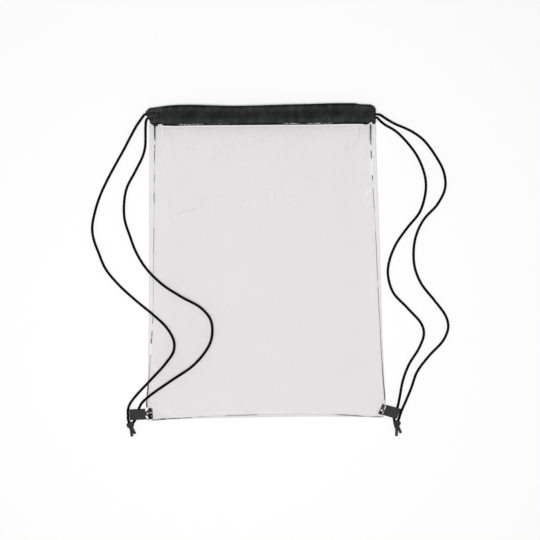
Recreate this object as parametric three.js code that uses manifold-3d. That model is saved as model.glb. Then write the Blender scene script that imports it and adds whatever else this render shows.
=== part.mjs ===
// Clear drawstring backpack, laid flat with its front up, in millimetres, +Z up, +Y towards the mouth.
// The origin is the middle of the bag and its tabs, on the surface that it lies on.
import * as THREE from "three";
import { mergeVertices } from "three/addons/utils/BufferGeometryUtils.js";
import Module from "manifold-3d";

const wasm = await Module();
wasm.setup();

// Driving dimensions
const pouchWidth = 336; // between the side edges at mid height
const pouchLength = 426; // from the bottom edge to the casing's lower edge
const pouchBottom = -226; // y of the bottom edge in the middle
const panelWall = 1; // clear sheet
const fitGap = 0.3; // between touching pieces
const pouchOpen = 7; // hollow inside the lying pouch
const sideRise = 46; // width over which the front panel rises from a side seam
const footRise = 70; // length over which it rises from the bottom edge
const throatLength = 62; // length over which it climbs to the casing
const hemLead = 4; // stretch below the casing where the film is already level with the hem
const bottomSag = 5; // how far the bottom edge bows
const seamAllowance = 7.4; // flat band outside the side seam at the mouth
const gatherDepth = 1.3; // height of the film's gathers below the casing
const gatherWidth = 6.5; // half width of one such gather
const frontColumns = 28; // steps of the front panel from seam to seam
const frontRows = 18; // and from the bottom edge to the top
const backColumns = 8;
const backFlatRows = 8; // steps of the back panel where it lies flat
const backThroatRows = 6; // and where it climbs to its casing
const backThroatStart = 0.93; // share of its length at which that climb starts

const casingWall = 1; // folded fabric
const casingWidth = 31; // from the lower edge to the fold
const casingLapLeft = 5.7; // how far its gathered end reaches past the pouch's half width
const casingShortRight = 6; // how far its square end stops short of it
const casingTurn = 1.6; // rise of the whole band from left to right
const hemWidth = 5; // flat hem that grips the sheet
const hemRise = 3; // from the hem to the full tunnel
const tuckIn = 4.4; // how far the sheet reaches into the hem
const mouthOpen = 5.2; // gap between the casings in the middle
const mouthRise = 120; // length over which the gap opens from each end
const ruffleHeight = 1.5; // pleats at the gathered end
const ruffleReach = 30; // how far they run along the casing
const pleatCount = 3; // pleats across the band
const casingStations = 18; // steps along the casing
const casingFlatSteps = 5; // steps of its section over the flat of the tunnel

const cordDiameter = 3.2;
const cordClear = 0.3; // each side of the cord in its tunnel
const floorClear = 0.05; // under a cord that lies on the surface
const cordSides = 8;
const cordStep = 3; // diameters to each step of a tube
const rampStart = 10; // where a strand that comes over the pouch's edge leaves the surface
const rampEnd = 4; // and where it is at the edge's full height
const bedTop = 60; // y above which no strand crosses the edge
const endStub = 1.2; // straight stub at each end of a cord piece, which sets how its end face stands
const laneReach = 60; // length over which a cord shifts sideways in its tunnel
const runSteps = 14; // steps of a cord's straight stretch in a tunnel
const turnSteps = 8; // steps of its turn round the end

const tabWidth = 15.5;
const tabWall = 1;
const tabRamp = 4.5; // from the tucked end to the open loop
const tabEyeTip = 0.75; // share of the ramp at which the loop's inside starts
const tabEyeFull = 1.5; // and at which it is as high as it gets
const tabBendSteps = 6; // steps of the bend at the outer end

const knotWidth = 10.4;
const knotLength = 12.4;
const knotHeight = 8.6;
const knotRidge = 0.07; // height of the cord's turns on the knot, as a share of its half width
const knotRidges = 2; // turns side by side
const knotTwist = 9; // how far they wind from one end to the other, in radians
const knotSides = 12;
const knotRings = 8;
const tailSteps = 4;

// Sizes worked out from those
const cordRadius = cordDiameter / 2;
const tunnelHeight = cordDiameter + 2 * cordClear;
const casingThick = tunnelHeight + 2 * casingWall;
const backMiddle = casingThick / 2; // z of the back casing's middle plane
const casingLow = pouchBottom + pouchLength; // y of the casing's lower edge
const casingLeft = -pouchWidth / 2 - casingLapLeft; // x of its gathered end
const casingRight = pouchWidth / 2 - casingShortRight; // x of its square end
const panelRest = panelWall + fitGap; // underside of the front panel where it is pressed down
const tabStack = 2 * (tabWall + fitGap); // extra height of the front panel over a tucked tab

// Side edges of the pouch: up is a share of its length, left and right are shares of half its width,
// and the two seams are the shares of the allowance that are left between each seam and its edge
const sideRows = [
  { up: -0.014, left: -1.006, right: 1.015, leftSeam: 0.1, rightSeam: 0.1 },
  { up: 0.0, left: -1.02, right: 1.03, leftSeam: 0.1, rightSeam: 0.1 },
  { up: 0.045, left: -1.03, right: 1.047, leftSeam: 0.1, rightSeam: 0.12 },
  { up: 0.07, left: -1.026, right: 1.046, leftSeam: 0.1, rightSeam: 0.14 },
  { up: 0.127, left: -1.016, right: 1.038, leftSeam: 0.17, rightSeam: 0.22 },
  { up: 0.246, left: -1.01, right: 1.024, leftSeam: 0.51, rightSeam: 0.36 },
  { up: 0.33, left: -1.008, right: 1.018, leftSeam: 0.79, rightSeam: 0.44 },
  { up: 0.4, left: -1.006, right: 1.012, leftSeam: 0.82, rightSeam: 0.56 },
  { up: 0.592, left: -1.004, right: 0.998, leftSeam: 0.87, rightSeam: 0.7 },
  { up: 0.838, left: -1.003, right: 0.976, leftSeam: 0.96, rightSeam: 1.0 },
  { up: 0.948, left: -1.001, right: 0.964, leftSeam: 1.05, rightSeam: 1.05 },
  { up: 1.03, left: -1.0, right: 0.96, leftSeam: 1.06, rightSeam: 1.03 },
];

// Bottom edge: across is a share of half the width, lift a share of the bow
const bottomRows = [
  { across: -1.05, lift: -1.1 },
  { across: -0.85, lift: -0.78 },
  { across: -0.55, lift: -0.36 },
  { across: -0.2, lift: -0.16 },
  { across: 0.13, lift: 0.04 },
  { across: 0.48, lift: 0.18 },
  { across: 0.83, lift: 0.0 },
  { across: 1.05, lift: -0.2 },
];

// Casing outline: along is a share of its length, low and high are shares of its width
const casingRows = [
  { along: 0.0, low: -0.045, high: 0.81 },
  { along: 0.038, low: -0.02, high: 0.85 },
  { along: 0.06, low: -0.015, high: 0.89 },
  { along: 0.09, low: -0.018, high: 0.925 },
  { along: 0.13, low: -0.02, high: 0.94 },
  { along: 0.19, low: 0.0, high: 0.941 },
  { along: 0.25, low: 0.0, high: 0.92 },
  { along: 0.33, low: 0.0, high: 0.885 },
  { along: 0.38, low: 0.0, high: 0.874 },
  { along: 0.44, low: 0.005, high: 0.877 },
  { along: 0.52, low: 0.01, high: 0.894 },
  { along: 0.61, low: 0.012, high: 0.923 },
  { along: 0.72, low: 0.015, high: 0.942 },
  { along: 0.8, low: 0.025, high: 0.97 },
  { along: 0.86, low: 0.035, high: 0.983 },
  { along: 0.93, low: 0.035, high: 0.983 },
  { along: 0.955, low: 0.03, high: 0.94 },
  { along: 1.0, low: 0.015, high: 0.925 },
];

// Ends of the casing: across runs from the lower edge to the fold, and each inset or cover is a share of the
// width by which that end stops short of the casing's tip. The front casing's outer wall has the covers: it
// reaches over the cords where they turn round or come out of the ends
const casingEndRows = [
  { across: 0.0, leftInset: 0.43, rightInset: 0.05, leftCover: 0.39, rightCover: 0.03 },
  { across: 0.06, leftInset: 0.415, rightInset: 0.03, leftCover: 0.34, rightCover: 0.01 },
  { across: 0.12, leftInset: 0.41, rightInset: 0.01, leftCover: 0.265, rightCover: 0.0 },
  { across: 0.18, leftInset: 0.41, rightInset: 0.005, leftCover: 0.215, rightCover: 0.0 },
  { across: 0.28, leftInset: 0.405, rightInset: 0.0, leftCover: 0.2, rightCover: 0.0 },
  { across: 0.4, leftInset: 0.405, rightInset: 0.0, leftCover: 0.14, rightCover: 0.0 },
  { across: 0.5, leftInset: 0.17, rightInset: 0.0, leftCover: 0.08, rightCover: 0.0 },
  { across: 0.56, leftInset: 0.1, rightInset: 0.155, leftCover: 0.04, rightCover: 0.0 },
  { across: 0.62, leftInset: 0.07, rightInset: 0.155, leftCover: 0.01, rightCover: 0.0 },
  { across: 0.72, leftInset: 0.02, rightInset: 0.155, leftCover: 0.0, rightCover: 0.0 },
  { across: 0.82, leftInset: 0.04, rightInset: 0.16, leftCover: 0.02, rightCover: 0.02 },
  { across: 0.88, leftInset: 0.09, rightInset: 0.17, leftCover: 0.075, rightCover: 0.06 },
  { across: 0.94, leftInset: 0.14, rightInset: 0.2, leftCover: 0.125, rightCover: 0.13 },
  { across: 1.0, leftInset: 0.2, rightInset: 0.3, leftCover: 0.2, rightCover: 0.3 },
];

// Gathers of the film: across is a share of half the width, depth a share of the gather's depth,
// reach a share of the throat
const gatherRows = [
  { across: -0.9, depth: 0.8, reach: 0.5 },
  { across: -0.8, depth: 1.0, reach: 0.7 },
  { across: -0.69, depth: 0.5, reach: 0.5 },
  { across: 0.66, depth: 0.5, reach: 0.6 },
  { across: 0.76, depth: 0.8, reach: 1.0 },
  { across: 0.86, depth: 1.0, reach: 1.1 },
];

// Tabs: out and up place the middle of the outer end, out from the pouch's side edge and up from its bottom,
// turn is the heading of the outer end in degrees, lean skews the ends, tuck is the length inside the pouch
// and reach the length outside
const tabRows = [
  { name: "tab_left", side: "left", out: 25.4, up: 3.2, turn: 182.3, lean: 0, tuck: 10, reach: 24 },
  { name: "tab_right", side: "right", out: 21.4, up: 4.5, turn: -15.5, lean: 8.5, tuck: 9, reach: 19.4 },
];

// The tunnel runs: where each cord leaves the two casings, the lane (y) that it keeps inside them, and where
// it turns round at the far end
const leftCord = {
  frontExit: { x: -173, y: 215 },
  backExit: { x: -169.2, y: 209.6 },
  lane: 219,
  turn: { x: 157.2, y: 220.5 },
};
const rightCord = {
  frontExit: { x: 162.3, y: 214.9 },
  backExit: { x: 162.3, y: 210.8 },
  lane: 211.8,
  turn: { x: -161.4, y: 206.2 },
};

// Routes of the four free strands, from the casing to the knot; lift is the height above what they lie on
const leftOuterRoute = [
  { x: -173.3, y: 215, lift: 7.35 },
  { x: -174.8, y: 214.8, lift: 7.3 },
  { x: -177.5, y: 211.9, lift: 6.6 },
  { x: -182.6, y: 204.9, lift: 4.9 },
  { x: -187, y: 198.7, lift: 3.2 },
  { x: -197, y: 181, lift: 0.6 },
  { x: -204.5, y: 166.5, lift: 0 },
  { x: -217.5, y: 143, lift: 0 },
  { x: -230, y: 119.5, lift: 0 },
  { x: -240.5, y: 96.5, lift: 0 },
  { x: -248, y: 73, lift: 0 },
  { x: -252, y: 49.5, lift: 0 },
  { x: -249.5, y: 32, lift: 0 },
  { x: -243, y: 14.5, lift: 0 },
  { x: -233, y: -9, lift: 0 },
  { x: -214.5, y: -32, lift: 0 },
  { x: -189, y: -55.5, lift: 0 },
  { x: -160.5, y: -79, lift: 0 },
  { x: -142.5, y: -96.5, lift: 0 },
  { x: -132.5, y: -115.5, lift: 0 },
  { x: -133, y: -130, lift: 0 },
  { x: -145.5, y: -149, lift: 0 },
  { x: -167, y: -172.5, lift: 0 },
  { x: -188.4, y: -195.5, lift: 0 },
  { x: -197.4, y: -208, lift: 0 },
  { x: -199.9, y: -216.5, lift: 0 },
  { x: -199.7, y: -224, lift: 0.3 },
  { x: -199.6, y: -229.4, lift: 1 },
  { x: -198.4, y: -232.9, lift: 1.6 },
];
const leftInnerRoute = [
  { x: -169.5, y: 209.6, lift: 1.25 },
  { x: -170.9, y: 209.6, lift: 1.2 },
  { x: -173, y: 207, lift: 0.9 },
  { x: -174, y: 199, lift: 0.3 },
  { x: -174.2, y: 187, lift: 0 },
  { x: -174.6, y: 169.5, lift: 0 },
  { x: -178, y: 155, lift: 0 },
  { x: -189.5, y: 131.5, lift: 0 },
  { x: -201.5, y: 108, lift: 0 },
  { x: -205.5, y: 84.5, lift: 0 },
  { x: -204.5, y: 61.5, lift: 0 },
  { x: -197, y: 38, lift: 0 },
  { x: -188, y: 14.5, lift: 0 },
  { x: -173.5, y: -9, lift: 0 },
  { x: -150.5, y: -32, lift: 0 },
  { x: -122, y: -50.5, lift: 0 },
  { x: -93.5, y: -66.5, lift: 0 },
  { x: -79.5, y: -83, lift: 0 },
  { x: -76.5, y: -102, lift: 0 },
  { x: -81, y: -121, lift: 0 },
  { x: -102.5, y: -149, lift: 0 },
  { x: -136, y: -172.5, lift: 0 },
  { x: -168.5, y: -195.5, lift: 0 },
  { x: -180, y: -206.5, lift: 0.7 },
  { x: -183.9, y: -214.2, lift: 1.1 },
  { x: -186.6, y: -223, lift: 1.3 },
  { x: -189.4, y: -230.4, lift: 1.3 },
  { x: -191.6, y: -233.6, lift: 1.6 },
];
const rightOuterRoute = [
  { x: 162.6, y: 214.9, lift: 7.35 },
  { x: 164.4, y: 214.9, lift: 7.2 },
  { x: 167.8, y: 214.2, lift: 6.6 },
  { x: 172.6, y: 211.3, lift: 5.3 },
  { x: 181.8, y: 205.7, lift: 2.8 },
  { x: 191, y: 201, lift: 1 },
  { x: 204.4, y: 195.4, lift: 0 },
  { x: 216, y: 189.6, lift: 0 },
  { x: 231.5, y: 178, lift: 0 },
  { x: 249, y: 155, lift: 0 },
  { x: 261, y: 131.5, lift: 0 },
  { x: 263, y: 108, lift: 0 },
  { x: 252, y: 84.5, lift: 0 },
  { x: 231.5, y: 61.5, lift: 0 },
  { x: 220.5, y: 38, lift: 0 },
  { x: 217, y: 14.5, lift: 0 },
  { x: 219, y: -9, lift: 0 },
  { x: 228.5, y: -32, lift: 0 },
  { x: 247, y: -55.5, lift: 0 },
  { x: 264, y: -79, lift: 0 },
  { x: 267.5, y: -95, lift: 0 },
  { x: 260.5, y: -114, lift: 0 },
  { x: 239.5, y: -137, lift: 0 },
  { x: 222, y: -160.5, lift: 0 },
  { x: 213.5, y: -184, lift: 0 },
  { x: 204.5, y: -205.5, lift: 0 },
  { x: 200.9, y: -213.5, lift: 0 },
  { x: 198, y: -221, lift: 0.3 },
  { x: 195.9, y: -227.2, lift: 1 },
  { x: 194.7, y: -230.2, lift: 1.6 },
];
const rightInnerRoute = [
  { x: 162.6, y: 210.8, lift: 1.25 },
  { x: 163.8, y: 210.8, lift: 1.2 },
  { x: 166, y: 208.2, lift: 0.9 },
  { x: 174.4, y: 200.9, lift: 0.3 },
  { x: 189.8, y: 191.8, lift: 0 },
  { x: 204.5, y: 178, lift: 0 },
  { x: 222, y: 155, lift: 0 },
  { x: 232, y: 131.5, lift: 0 },
  { x: 235, y: 114, lift: 0 },
  { x: 233.5, y: 96.5, lift: 0 },
  { x: 226, y: 73, lift: 0 },
  { x: 207.5, y: 49.5, lift: 0 },
  { x: 191.5, y: 26.5, lift: 0 },
  { x: 182, y: 3, lift: 0 },
  { x: 179.5, y: -17.5, lift: 0 },
  { x: 187, y: -44, lift: 0 },
  { x: 208, y: -67, lift: 0 },
  { x: 228.5, y: -90.5, lift: 0 },
  { x: 232, y: -105, lift: 0 },
  { x: 225, y: -125.5, lift: 0 },
  { x: 210.5, y: -149, lift: 0 },
  { x: 201.5, y: -172.5, lift: 0 },
  { x: 197, y: -195.5, lift: 0 },
  { x: 194.8, y: -206.5, lift: 0.7 },
  { x: 193, y: -213.2, lift: 1.3 },
  { x: 190.2, y: -220.6, lift: 1.3 },
  { x: 188.3, y: -227, lift: 1.3 },
  { x: 188.7, y: -230.8, lift: 1.6 },
];

// Knots: middle of each knot, and where its two tails end
const knots = [
  {
    name: "knot_left",
    x: -195.8,
    y: -238.7,
    tails: [
      { x: -193.9, y: -254.4 },
      { x: -189.4, y: -250.6 },
    ],
  },
  {
    name: "knot_right",
    x: 192.4,
    y: -236.4,
    tails: [
      { x: 192, y: -253.8 },
      { x: 198.4, y: -249.4 },
    ],
  },
];

// Colours, roughness and metalness
const clearFilm = { color: 0xe6e4e5, roughness: 0.12, metalness: 0, transparent: true, opacity: 0.4 };
const blackFabric = { color: 0x2b2c2c, roughness: 0.85, metalness: 0 };
const blackRibbon = { color: 0x3a3a3a, roughness: 0.8, metalness: 0 };
const blackCord = { color: 0x111111, roughness: 0.8, metalness: 0 };

function material(look) {
  return new THREE.MeshStandardMaterial(look);
}

// A share from 0 to 1 with soft ends
function ease(share) {
  const t = Math.min(1, Math.max(0, share));
  return t * t * (3 - 2 * t);
}

function mix(a, b, share) {
  return a + (b - a) * share;
}

// Shares from 0 to 1, closer together at both ends
function crowdedShares(count) {
  return Array.from({ length: count + 1 }, (_, i) => (1 - Math.cos((Math.PI * i) / count)) / 2);
}

// Reads one column of a table at a value of its key column, on straight lines between rows
function lookUp(rows, key, at, column) {
  const last = rows.length - 1;
  if (at <= rows[0][key]) return rows[0][column];
  if (at >= rows[last][key]) return rows[last][column];
  const next = rows.findIndex((row) => row[key] > at);
  const low = rows[next - 1];
  const high = rows[next];
  return mix(low[column], high[column], (at - low[key]) / (high[key] - low[key]));
}

// A closed sheet between two grids of points: outer(i, j) and inner(i, j), with i and j in whole steps
function sheetSolid(columns, rows, outer, inner) {
  const points = [];
  const faces = [];
  const across = columns + 1;
  const side = across * (rows + 1);
  for (const face of [outer, inner]) {
    for (let j = 0; j <= rows; j++) {
      for (let i = 0; i <= columns; i++) points.push(face(i, j));
    }
  }
  const at = (i, j) => j * across + i;
  const quad = (a, b, c, d) => faces.push(a, b, c, a, c, d);
  for (let j = 0; j < rows; j++) {
    for (let i = 0; i < columns; i++) {
      quad(at(i, j), at(i + 1, j), at(i + 1, j + 1), at(i, j + 1));
      quad(side + at(i, j), side + at(i, j + 1), side + at(i + 1, j + 1), side + at(i + 1, j));
    }
  }
  const rim = [];
  for (let i = 0; i < columns; i++) rim.push(at(i, 0));
  for (let j = 0; j < rows; j++) rim.push(at(columns, j));
  for (let i = columns; i > 0; i--) rim.push(at(i, rows));
  for (let j = rows; j > 0; j--) rim.push(at(0, j));
  rim.forEach((a, k) => {
    const b = rim[(k + 1) % rim.length];
    quad(a, side + a, side + b, b);
  });
  const geometry = new THREE.BufferGeometry().setFromPoints(points);
  geometry.setIndex(faces);
  geometry.computeVertexNormals();
  return geometry;
}

// Outline of the pouch
function sideEdge(y, column) {
  const up = (y - pouchBottom) / pouchLength;
  return (lookUp(sideRows, "up", up, column) * pouchWidth) / 2;
}

function seamLine(y, column) {
  const up = (y - pouchBottom) / pouchLength;
  const inset = lookUp(sideRows, "up", up, `${column}Seam`) * seamAllowance;
  return sideEdge(y, column) + (column === "left" ? inset : -inset);
}

function bottomEdge(x) {
  const lift = lookUp(bottomRows, "across", (2 * x) / pouchWidth, "lift");
  return pouchBottom + lift * bottomSag;
}

// The tabs, each set off from the pouch's corner
const tabs = tabRows.map((row) => {
  const y = pouchBottom + row.up;
  const outwards = row.side === "left" ? -1 : 1;
  return { ...row, x: sideEdge(y, row.side) + outwards * row.out, y };
});

function casingShift(x) {
  return casingTurn * ((x - casingLeft) / (casingRight - casingLeft) - 0.5);
}

// Gap between the casings, which opens from both ends to the middle of the mouth
function mouthGap(x) {
  const fromEnd = Math.min(x - casingLeft, casingRight - x);
  return fitGap + mouthOpen * ease(fromEnd / mouthRise);
}

// z of the front casing's middle plane
function frontMiddle(x) {
  return backMiddle + casingThick + mouthGap(x);
}

// How far up its throat the film is at a point, from 0 in the body to 1 at the casing
function throatShare(x, y, length) {
  return ease((y - (casingLow + casingShift(x) - hemLead - length)) / length);
}

function backUnderside(x, y) {
  return (backMiddle - panelWall / 2) * throatShare(x, y, throatLength / 2);
}

function gathers(x, y) {
  const belowCasing = casingLow - y;
  let height = 0;
  for (const row of gatherRows) {
    const offset = (x - (row.across * pouchWidth) / 2) / gatherWidth;
    const fade = ease(belowCasing / gatherWidth) * ease(1 - belowCasing / (row.reach * throatLength));
    height += row.depth * gatherDepth * Math.exp(-offset * offset) * fade;
  }
  return height;
}

// Extra height of the front panel where a tab is tucked under it
function overTab(x, y) {
  let height = 0;
  for (const tab of tabs) {
    const heading = THREE.MathUtils.degToRad(tab.turn);
    const middleX = tab.x - (tab.reach + tab.tuck / 2) * Math.cos(heading);
    const middleY = tab.y - (tab.reach + tab.tuck / 2) * Math.sin(heading);
    const alongShare = (Math.abs(x - middleX) - tab.tuck) / sideRise;
    const acrossShare = (Math.abs(y - middleY) - tabWidth) / (2 * tabWidth);
    height += tabStack * ease(1 - alongShare) * ease(1 - acrossShare);
  }
  return height;
}

function frontUnderside(x, y) {
  const fromSeam = Math.min(x - seamLine(y, "left"), seamLine(y, "right") - x);
  const fromBottom = y - bottomEdge(x);
  const throat = throatShare(x, y, throatLength);
  const body = pouchOpen * ease(fromSeam / sideRise) * ease(fromBottom / footRise);
  const climb = throat * (frontMiddle(x) - panelWall / 2 - panelRest);
  return panelRest + body * (1 - throat) + climb + gathers(x, y) + overTab(x, y);
}

// A panel's point at a column and a row of its grid
function panelPoint(columnShare, rowShare) {
  const top = casingLow + tuckIn;
  const roughY = mix(pouchBottom, top, rowShare);
  const left = sideEdge(roughY, "left");
  const right = sideEdge(roughY, "right");
  const seamLeft = seamLine(roughY, "left");
  const seamRight = seamLine(roughY, "right");
  let x = mix(seamLeft, seamRight, columnShare);
  if (columnShare < 0) x = left;
  if (columnShare > 1) x = right;
  const y = mix(bottomEdge(x), top + casingShift(x), rowShare);
  return { x, y };
}

function panel(columnShares, rowShares, underside) {
  const columns = [-1, ...columnShares, 2];
  const lower = (i, j) => {
    const { x, y } = panelPoint(columns[i], rowShares[j]);
    return new THREE.Vector3(x, y, underside(x, y));
  };
  const upper = (i, j) => lower(i, j).add(new THREE.Vector3(0, 0, panelWall));
  return sheetSolid(columns.length - 1, rowShares.length - 1, upper, lower);
}

function frontPanel() {
  return panel(crowdedShares(frontColumns), crowdedShares(frontRows), frontUnderside);
}

function backPanel() {
  const rows = [];
  for (let i = 0; i < backFlatRows; i++) rows.push((backThroatStart * i) / backFlatRows);
  for (let i = 0; i <= backThroatRows; i++) rows.push(mix(backThroatStart, 1, i / backThroatRows));
  return panel(crowdedShares(backColumns), rows, backUnderside);
}

// Half of a casing's section, from the hem's edge to the fold: how far in from the lower edge, and how far
// the wall's middle is from the casing's middle plane
function casingHalfSection(width) {
  const hemHalf = panelWall / 2 + fitGap + casingWall / 2;
  const tunnelHalf = (tunnelHeight + casingWall) / 2;
  const flatEnd = width - casingWall / 2 - tunnelHalf;
  const points = [
    { inward: 0, height: hemHalf },
    { inward: hemWidth, height: hemHalf },
  ];
  for (let i = 0; i <= casingFlatSteps; i++) {
    const inward = mix(hemWidth + hemRise, flatEnd, i / casingFlatSteps);
    points.push({ inward, height: tunnelHalf });
  }
  const bend = Math.PI / 4;
  points.push({ inward: flatEnd + tunnelHalf * Math.sin(bend), height: tunnelHalf * Math.cos(bend) });
  return points;
}

// A casing: a band folded over the sheet's top edge, open along its lower edge where the sheet enters
function casing(middlePlane, covered) {
  const stations = crowdedShares(casingStations);
  const halfCount = casingHalfSection(casingWidth).length;
  const steps = 2 * halfCount;
  const wallMiddle = (i, j) => {
    const along = stations[j];
    const low = lookUp(casingRows, "along", along, "low") * casingWidth;
    const high = lookUp(casingRows, "along", along, "high") * casingWidth;
    const half = casingHalfSection(high - low);
    const fold = { inward: high - low - casingWall / 2, height: 0 };
    const mirrored = i > halfCount;
    const point = i === halfCount ? fold : half[mirrored ? steps - i : i];
    const across = point.inward / (high - low);
    const end = covered && mirrored ? "Cover" : "Inset";
    const left = casingLeft + lookUp(casingEndRows, "across", across, `left${end}`) * casingWidth;
    const right = casingRight - lookUp(casingEndRows, "across", across, `right${end}`) * casingWidth;
    const x = mix(left, right, along);
    const y = casingLow + casingShift(x) + low + point.inward;
    const ruffle = covered && mirrored ? ruffles(x, across) : 0;
    const z = middlePlane(x) + (mirrored ? point.height : -point.height) + ruffle;
    return new THREE.Vector3(x, y, z);
  };
  // The wall's outward direction in the section's own plane
  const outward = (i, j) => {
    const before = wallMiddle(Math.max(0, i - 1), j);
    const after = wallMiddle(Math.min(steps, i + 1), j);
    return new THREE.Vector3(0, after.z - before.z, before.y - after.y).normalize();
  };
  const wallFace = (share) => (i, j) =>
    wallMiddle(i, j).addScaledVector(outward(i, j), share * casingWall);
  return sheetSolid(steps, stations.length - 1, wallFace(0.5), wallFace(-0.5));
}

// Pleats of the gathered end, highest at the end itself
function ruffles(x, across) {
  const fade = ease(1 - (x - casingLeft) / ruffleReach);
  const hemFade = ease(across * pleatCount);
  return (ruffleHeight * fade * hemFade * (1 - Math.cos(2 * Math.PI * pleatCount * across))) / 2;
}

function casingFront() {
  return casing(frontMiddle, true);
}

function casingBack() {
  return casing(() => backMiddle, false);
}

// A tab: a ribbon loop on its side, seen along its width, with its two tucked ends pressed together
function tab({ x, y, turn, lean, tuck, reach }) {
  const loopHigh = tunnelHeight + 2 * tabWall;
  const tuckedLow = panelRest;
  const bend = loopHigh / 2;
  const outline = new THREE.Shape();
  outline.moveTo(-reach - tuck, tuckedLow);
  outline.lineTo(-reach, tuckedLow);
  outline.lineTo(-reach + tabRamp, 0);
  outline.lineTo(-bend, 0);
  outline.absarc(-bend, bend, bend, -Math.PI / 2, Math.PI / 2, false);
  outline.lineTo(-reach + tabRamp, loopHigh);
  outline.lineTo(-reach, tuckedLow + 2 * tabWall);
  outline.lineTo(-reach - tuck, tuckedLow + 2 * tabWall);
  outline.closePath();
  const eye = new THREE.Path();
  const eyeTip = -reach + tabRamp * tabEyeTip;
  const eyeFull = -reach + tabRamp * tabEyeFull;
  eye.moveTo(eyeTip, bend);
  eye.lineTo(eyeFull, tabWall);
  eye.lineTo(-bend, tabWall);
  eye.absarc(-bend, bend, bend - tabWall, -Math.PI / 2, Math.PI / 2, false);
  eye.lineTo(eyeFull, loopHigh - tabWall);
  eye.closePath();
  outline.holes.push(eye);
  const geometry = new THREE.ExtrudeGeometry(outline, {
    depth: tabWidth,
    bevelEnabled: false,
    curveSegments: tabBendSteps,
  });
  // The section is drawn along the tab and up; the extrusion runs across it
  geometry.rotateX(Math.PI / 2);
  geometry.translate(0, tabWidth / 2, 0);
  const skew = Math.tan(THREE.MathUtils.degToRad(lean));
  geometry.applyMatrix4(new THREE.Matrix4().makeShear(0, 0, skew, 0, 0, 0));
  const mesh = new THREE.Mesh(geometry, material(blackRibbon));
  mesh.rotation.z = THREE.MathUtils.degToRad(turn);
  mesh.position.set(x, y, 0);
  return mesh;
}

function cordSection() {
  const corners = Array.from({ length: cordSides }, (_, i) => {
    const angle = (2 * Math.PI * i) / cordSides;
    return new THREE.Vector2(cordRadius * Math.cos(angle), cordRadius * Math.sin(angle));
  });
  return new THREE.Shape(corners);
}

// A path whose steps fall on its own points, so that a tight turn gets as many as it has
class StationCurve extends THREE.CatmullRomCurve3 {
  getUtoTmapping(u) {
    return u;
  }
}

// Height of what a strand lies on: the surface, or the front panel, with a ramp outside its left edge.
// Above bedTop the strands lie beside the pouch
function bedHeight(x, y) {
  const inside = x - sideEdge(y, "left");
  if (inside < -rampStart || x > 0 || y > bedTop) return 0;
  const onPanel = frontUnderside(Math.max(x, seamLine(y, "left")), y) + panelWall + 2 * cordClear;
  return onPanel * ease((inside + rampStart) / (rampStart - rampEnd));
}

// A cord's tube along its points, one step to each
function cordTube(points) {
  return new THREE.ExtrudeGeometry(cordSection(), {
    steps: points.length - 1,
    bevelEnabled: false,
    extrudePath: new StationCurve(points),
  });
}

function strand(route) {
  const plan = new THREE.CatmullRomCurve3(route.map(({ x, y, lift }) => new THREE.Vector3(x, y, lift)));
  const steps = Math.round(plan.getLength() / (cordStep * cordDiameter));
  const points = plan.getSpacedPoints(steps);
  const endShare = endStub / plan.getLength();
  points.splice(1, 0, plan.getPointAt(endShare));
  points.splice(-1, 0, plan.getPointAt(1 - endShare));
  for (const point of points) point.z += bedHeight(point.x, point.y) + cordRadius + floorClear;
  return cordTube(points);
}

// The stretch of a cord inside the casings: along the front tunnel, round the far end and back
function tunnelRun({ frontExit, backExit, lane, turn }) {
  const points = laneFrom(frontExit, lane, turn, frontMiddle);
  const high = frontMiddle(turn.x);
  const middle = (high + backMiddle) / 2;
  const radius = (high - backMiddle) / 2;
  const outwards = Math.sign(turn.x - frontExit.x);
  for (let i = 1; i < turnSteps; i++) {
    const angle = (Math.PI * i) / turnSteps;
    const x = turn.x + outwards * radius * Math.sin(angle);
    points.push(new THREE.Vector3(x, turn.y, middle + radius * Math.cos(angle)));
  }
  points.push(...laneFrom(backExit, lane, turn, () => backMiddle).reverse());
  return cordTube(points);
}

// Points from an exit to the turn: over to the cord's lane, along it, and over to the turn
function laneFrom(exit, lane, turn, height) {
  const stub = endStub / Math.abs(turn.x - exit.x);
  const shares = [0, stub];
  for (let i = 1; i <= runSteps; i++) shares.push(i / runSteps);
  return shares.map((share) => {
    const x = mix(exit.x, turn.x, share);
    const fromExit = ease(Math.abs(x - exit.x) / laneReach);
    const fromTurn = ease(Math.abs(x - turn.x) / laneReach);
    const y = lane + (exit.y - lane) * (1 - fromExit) + (turn.y - lane) * (1 - fromTurn);
    return new THREE.Vector3(x, y, height(x));
  });
}

// three.js geometry to a manifold solid and back
function toSolid(geometry) {
  const bare = geometry.clone();
  bare.deleteAttribute("normal");
  bare.deleteAttribute("uv");
  const merged = mergeVertices(bare, 1e-4);
  return new wasm.Manifold(
    new wasm.Mesh({
      numProp: 3,
      vertProperties: merged.attributes.position.array,
      triVerts: new Uint32Array(merged.index.array),
    }),
  );
}

function fromSolid(solid) {
  const { vertProperties, triVerts } = solid.getMesh();
  const geometry = new THREE.BufferGeometry();
  geometry.setAttribute("position", new THREE.BufferAttribute(vertProperties, 3));
  geometry.setIndex(new THREE.BufferAttribute(triVerts, 1));
  geometry.computeVertexNormals();
  return geometry;
}

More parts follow.
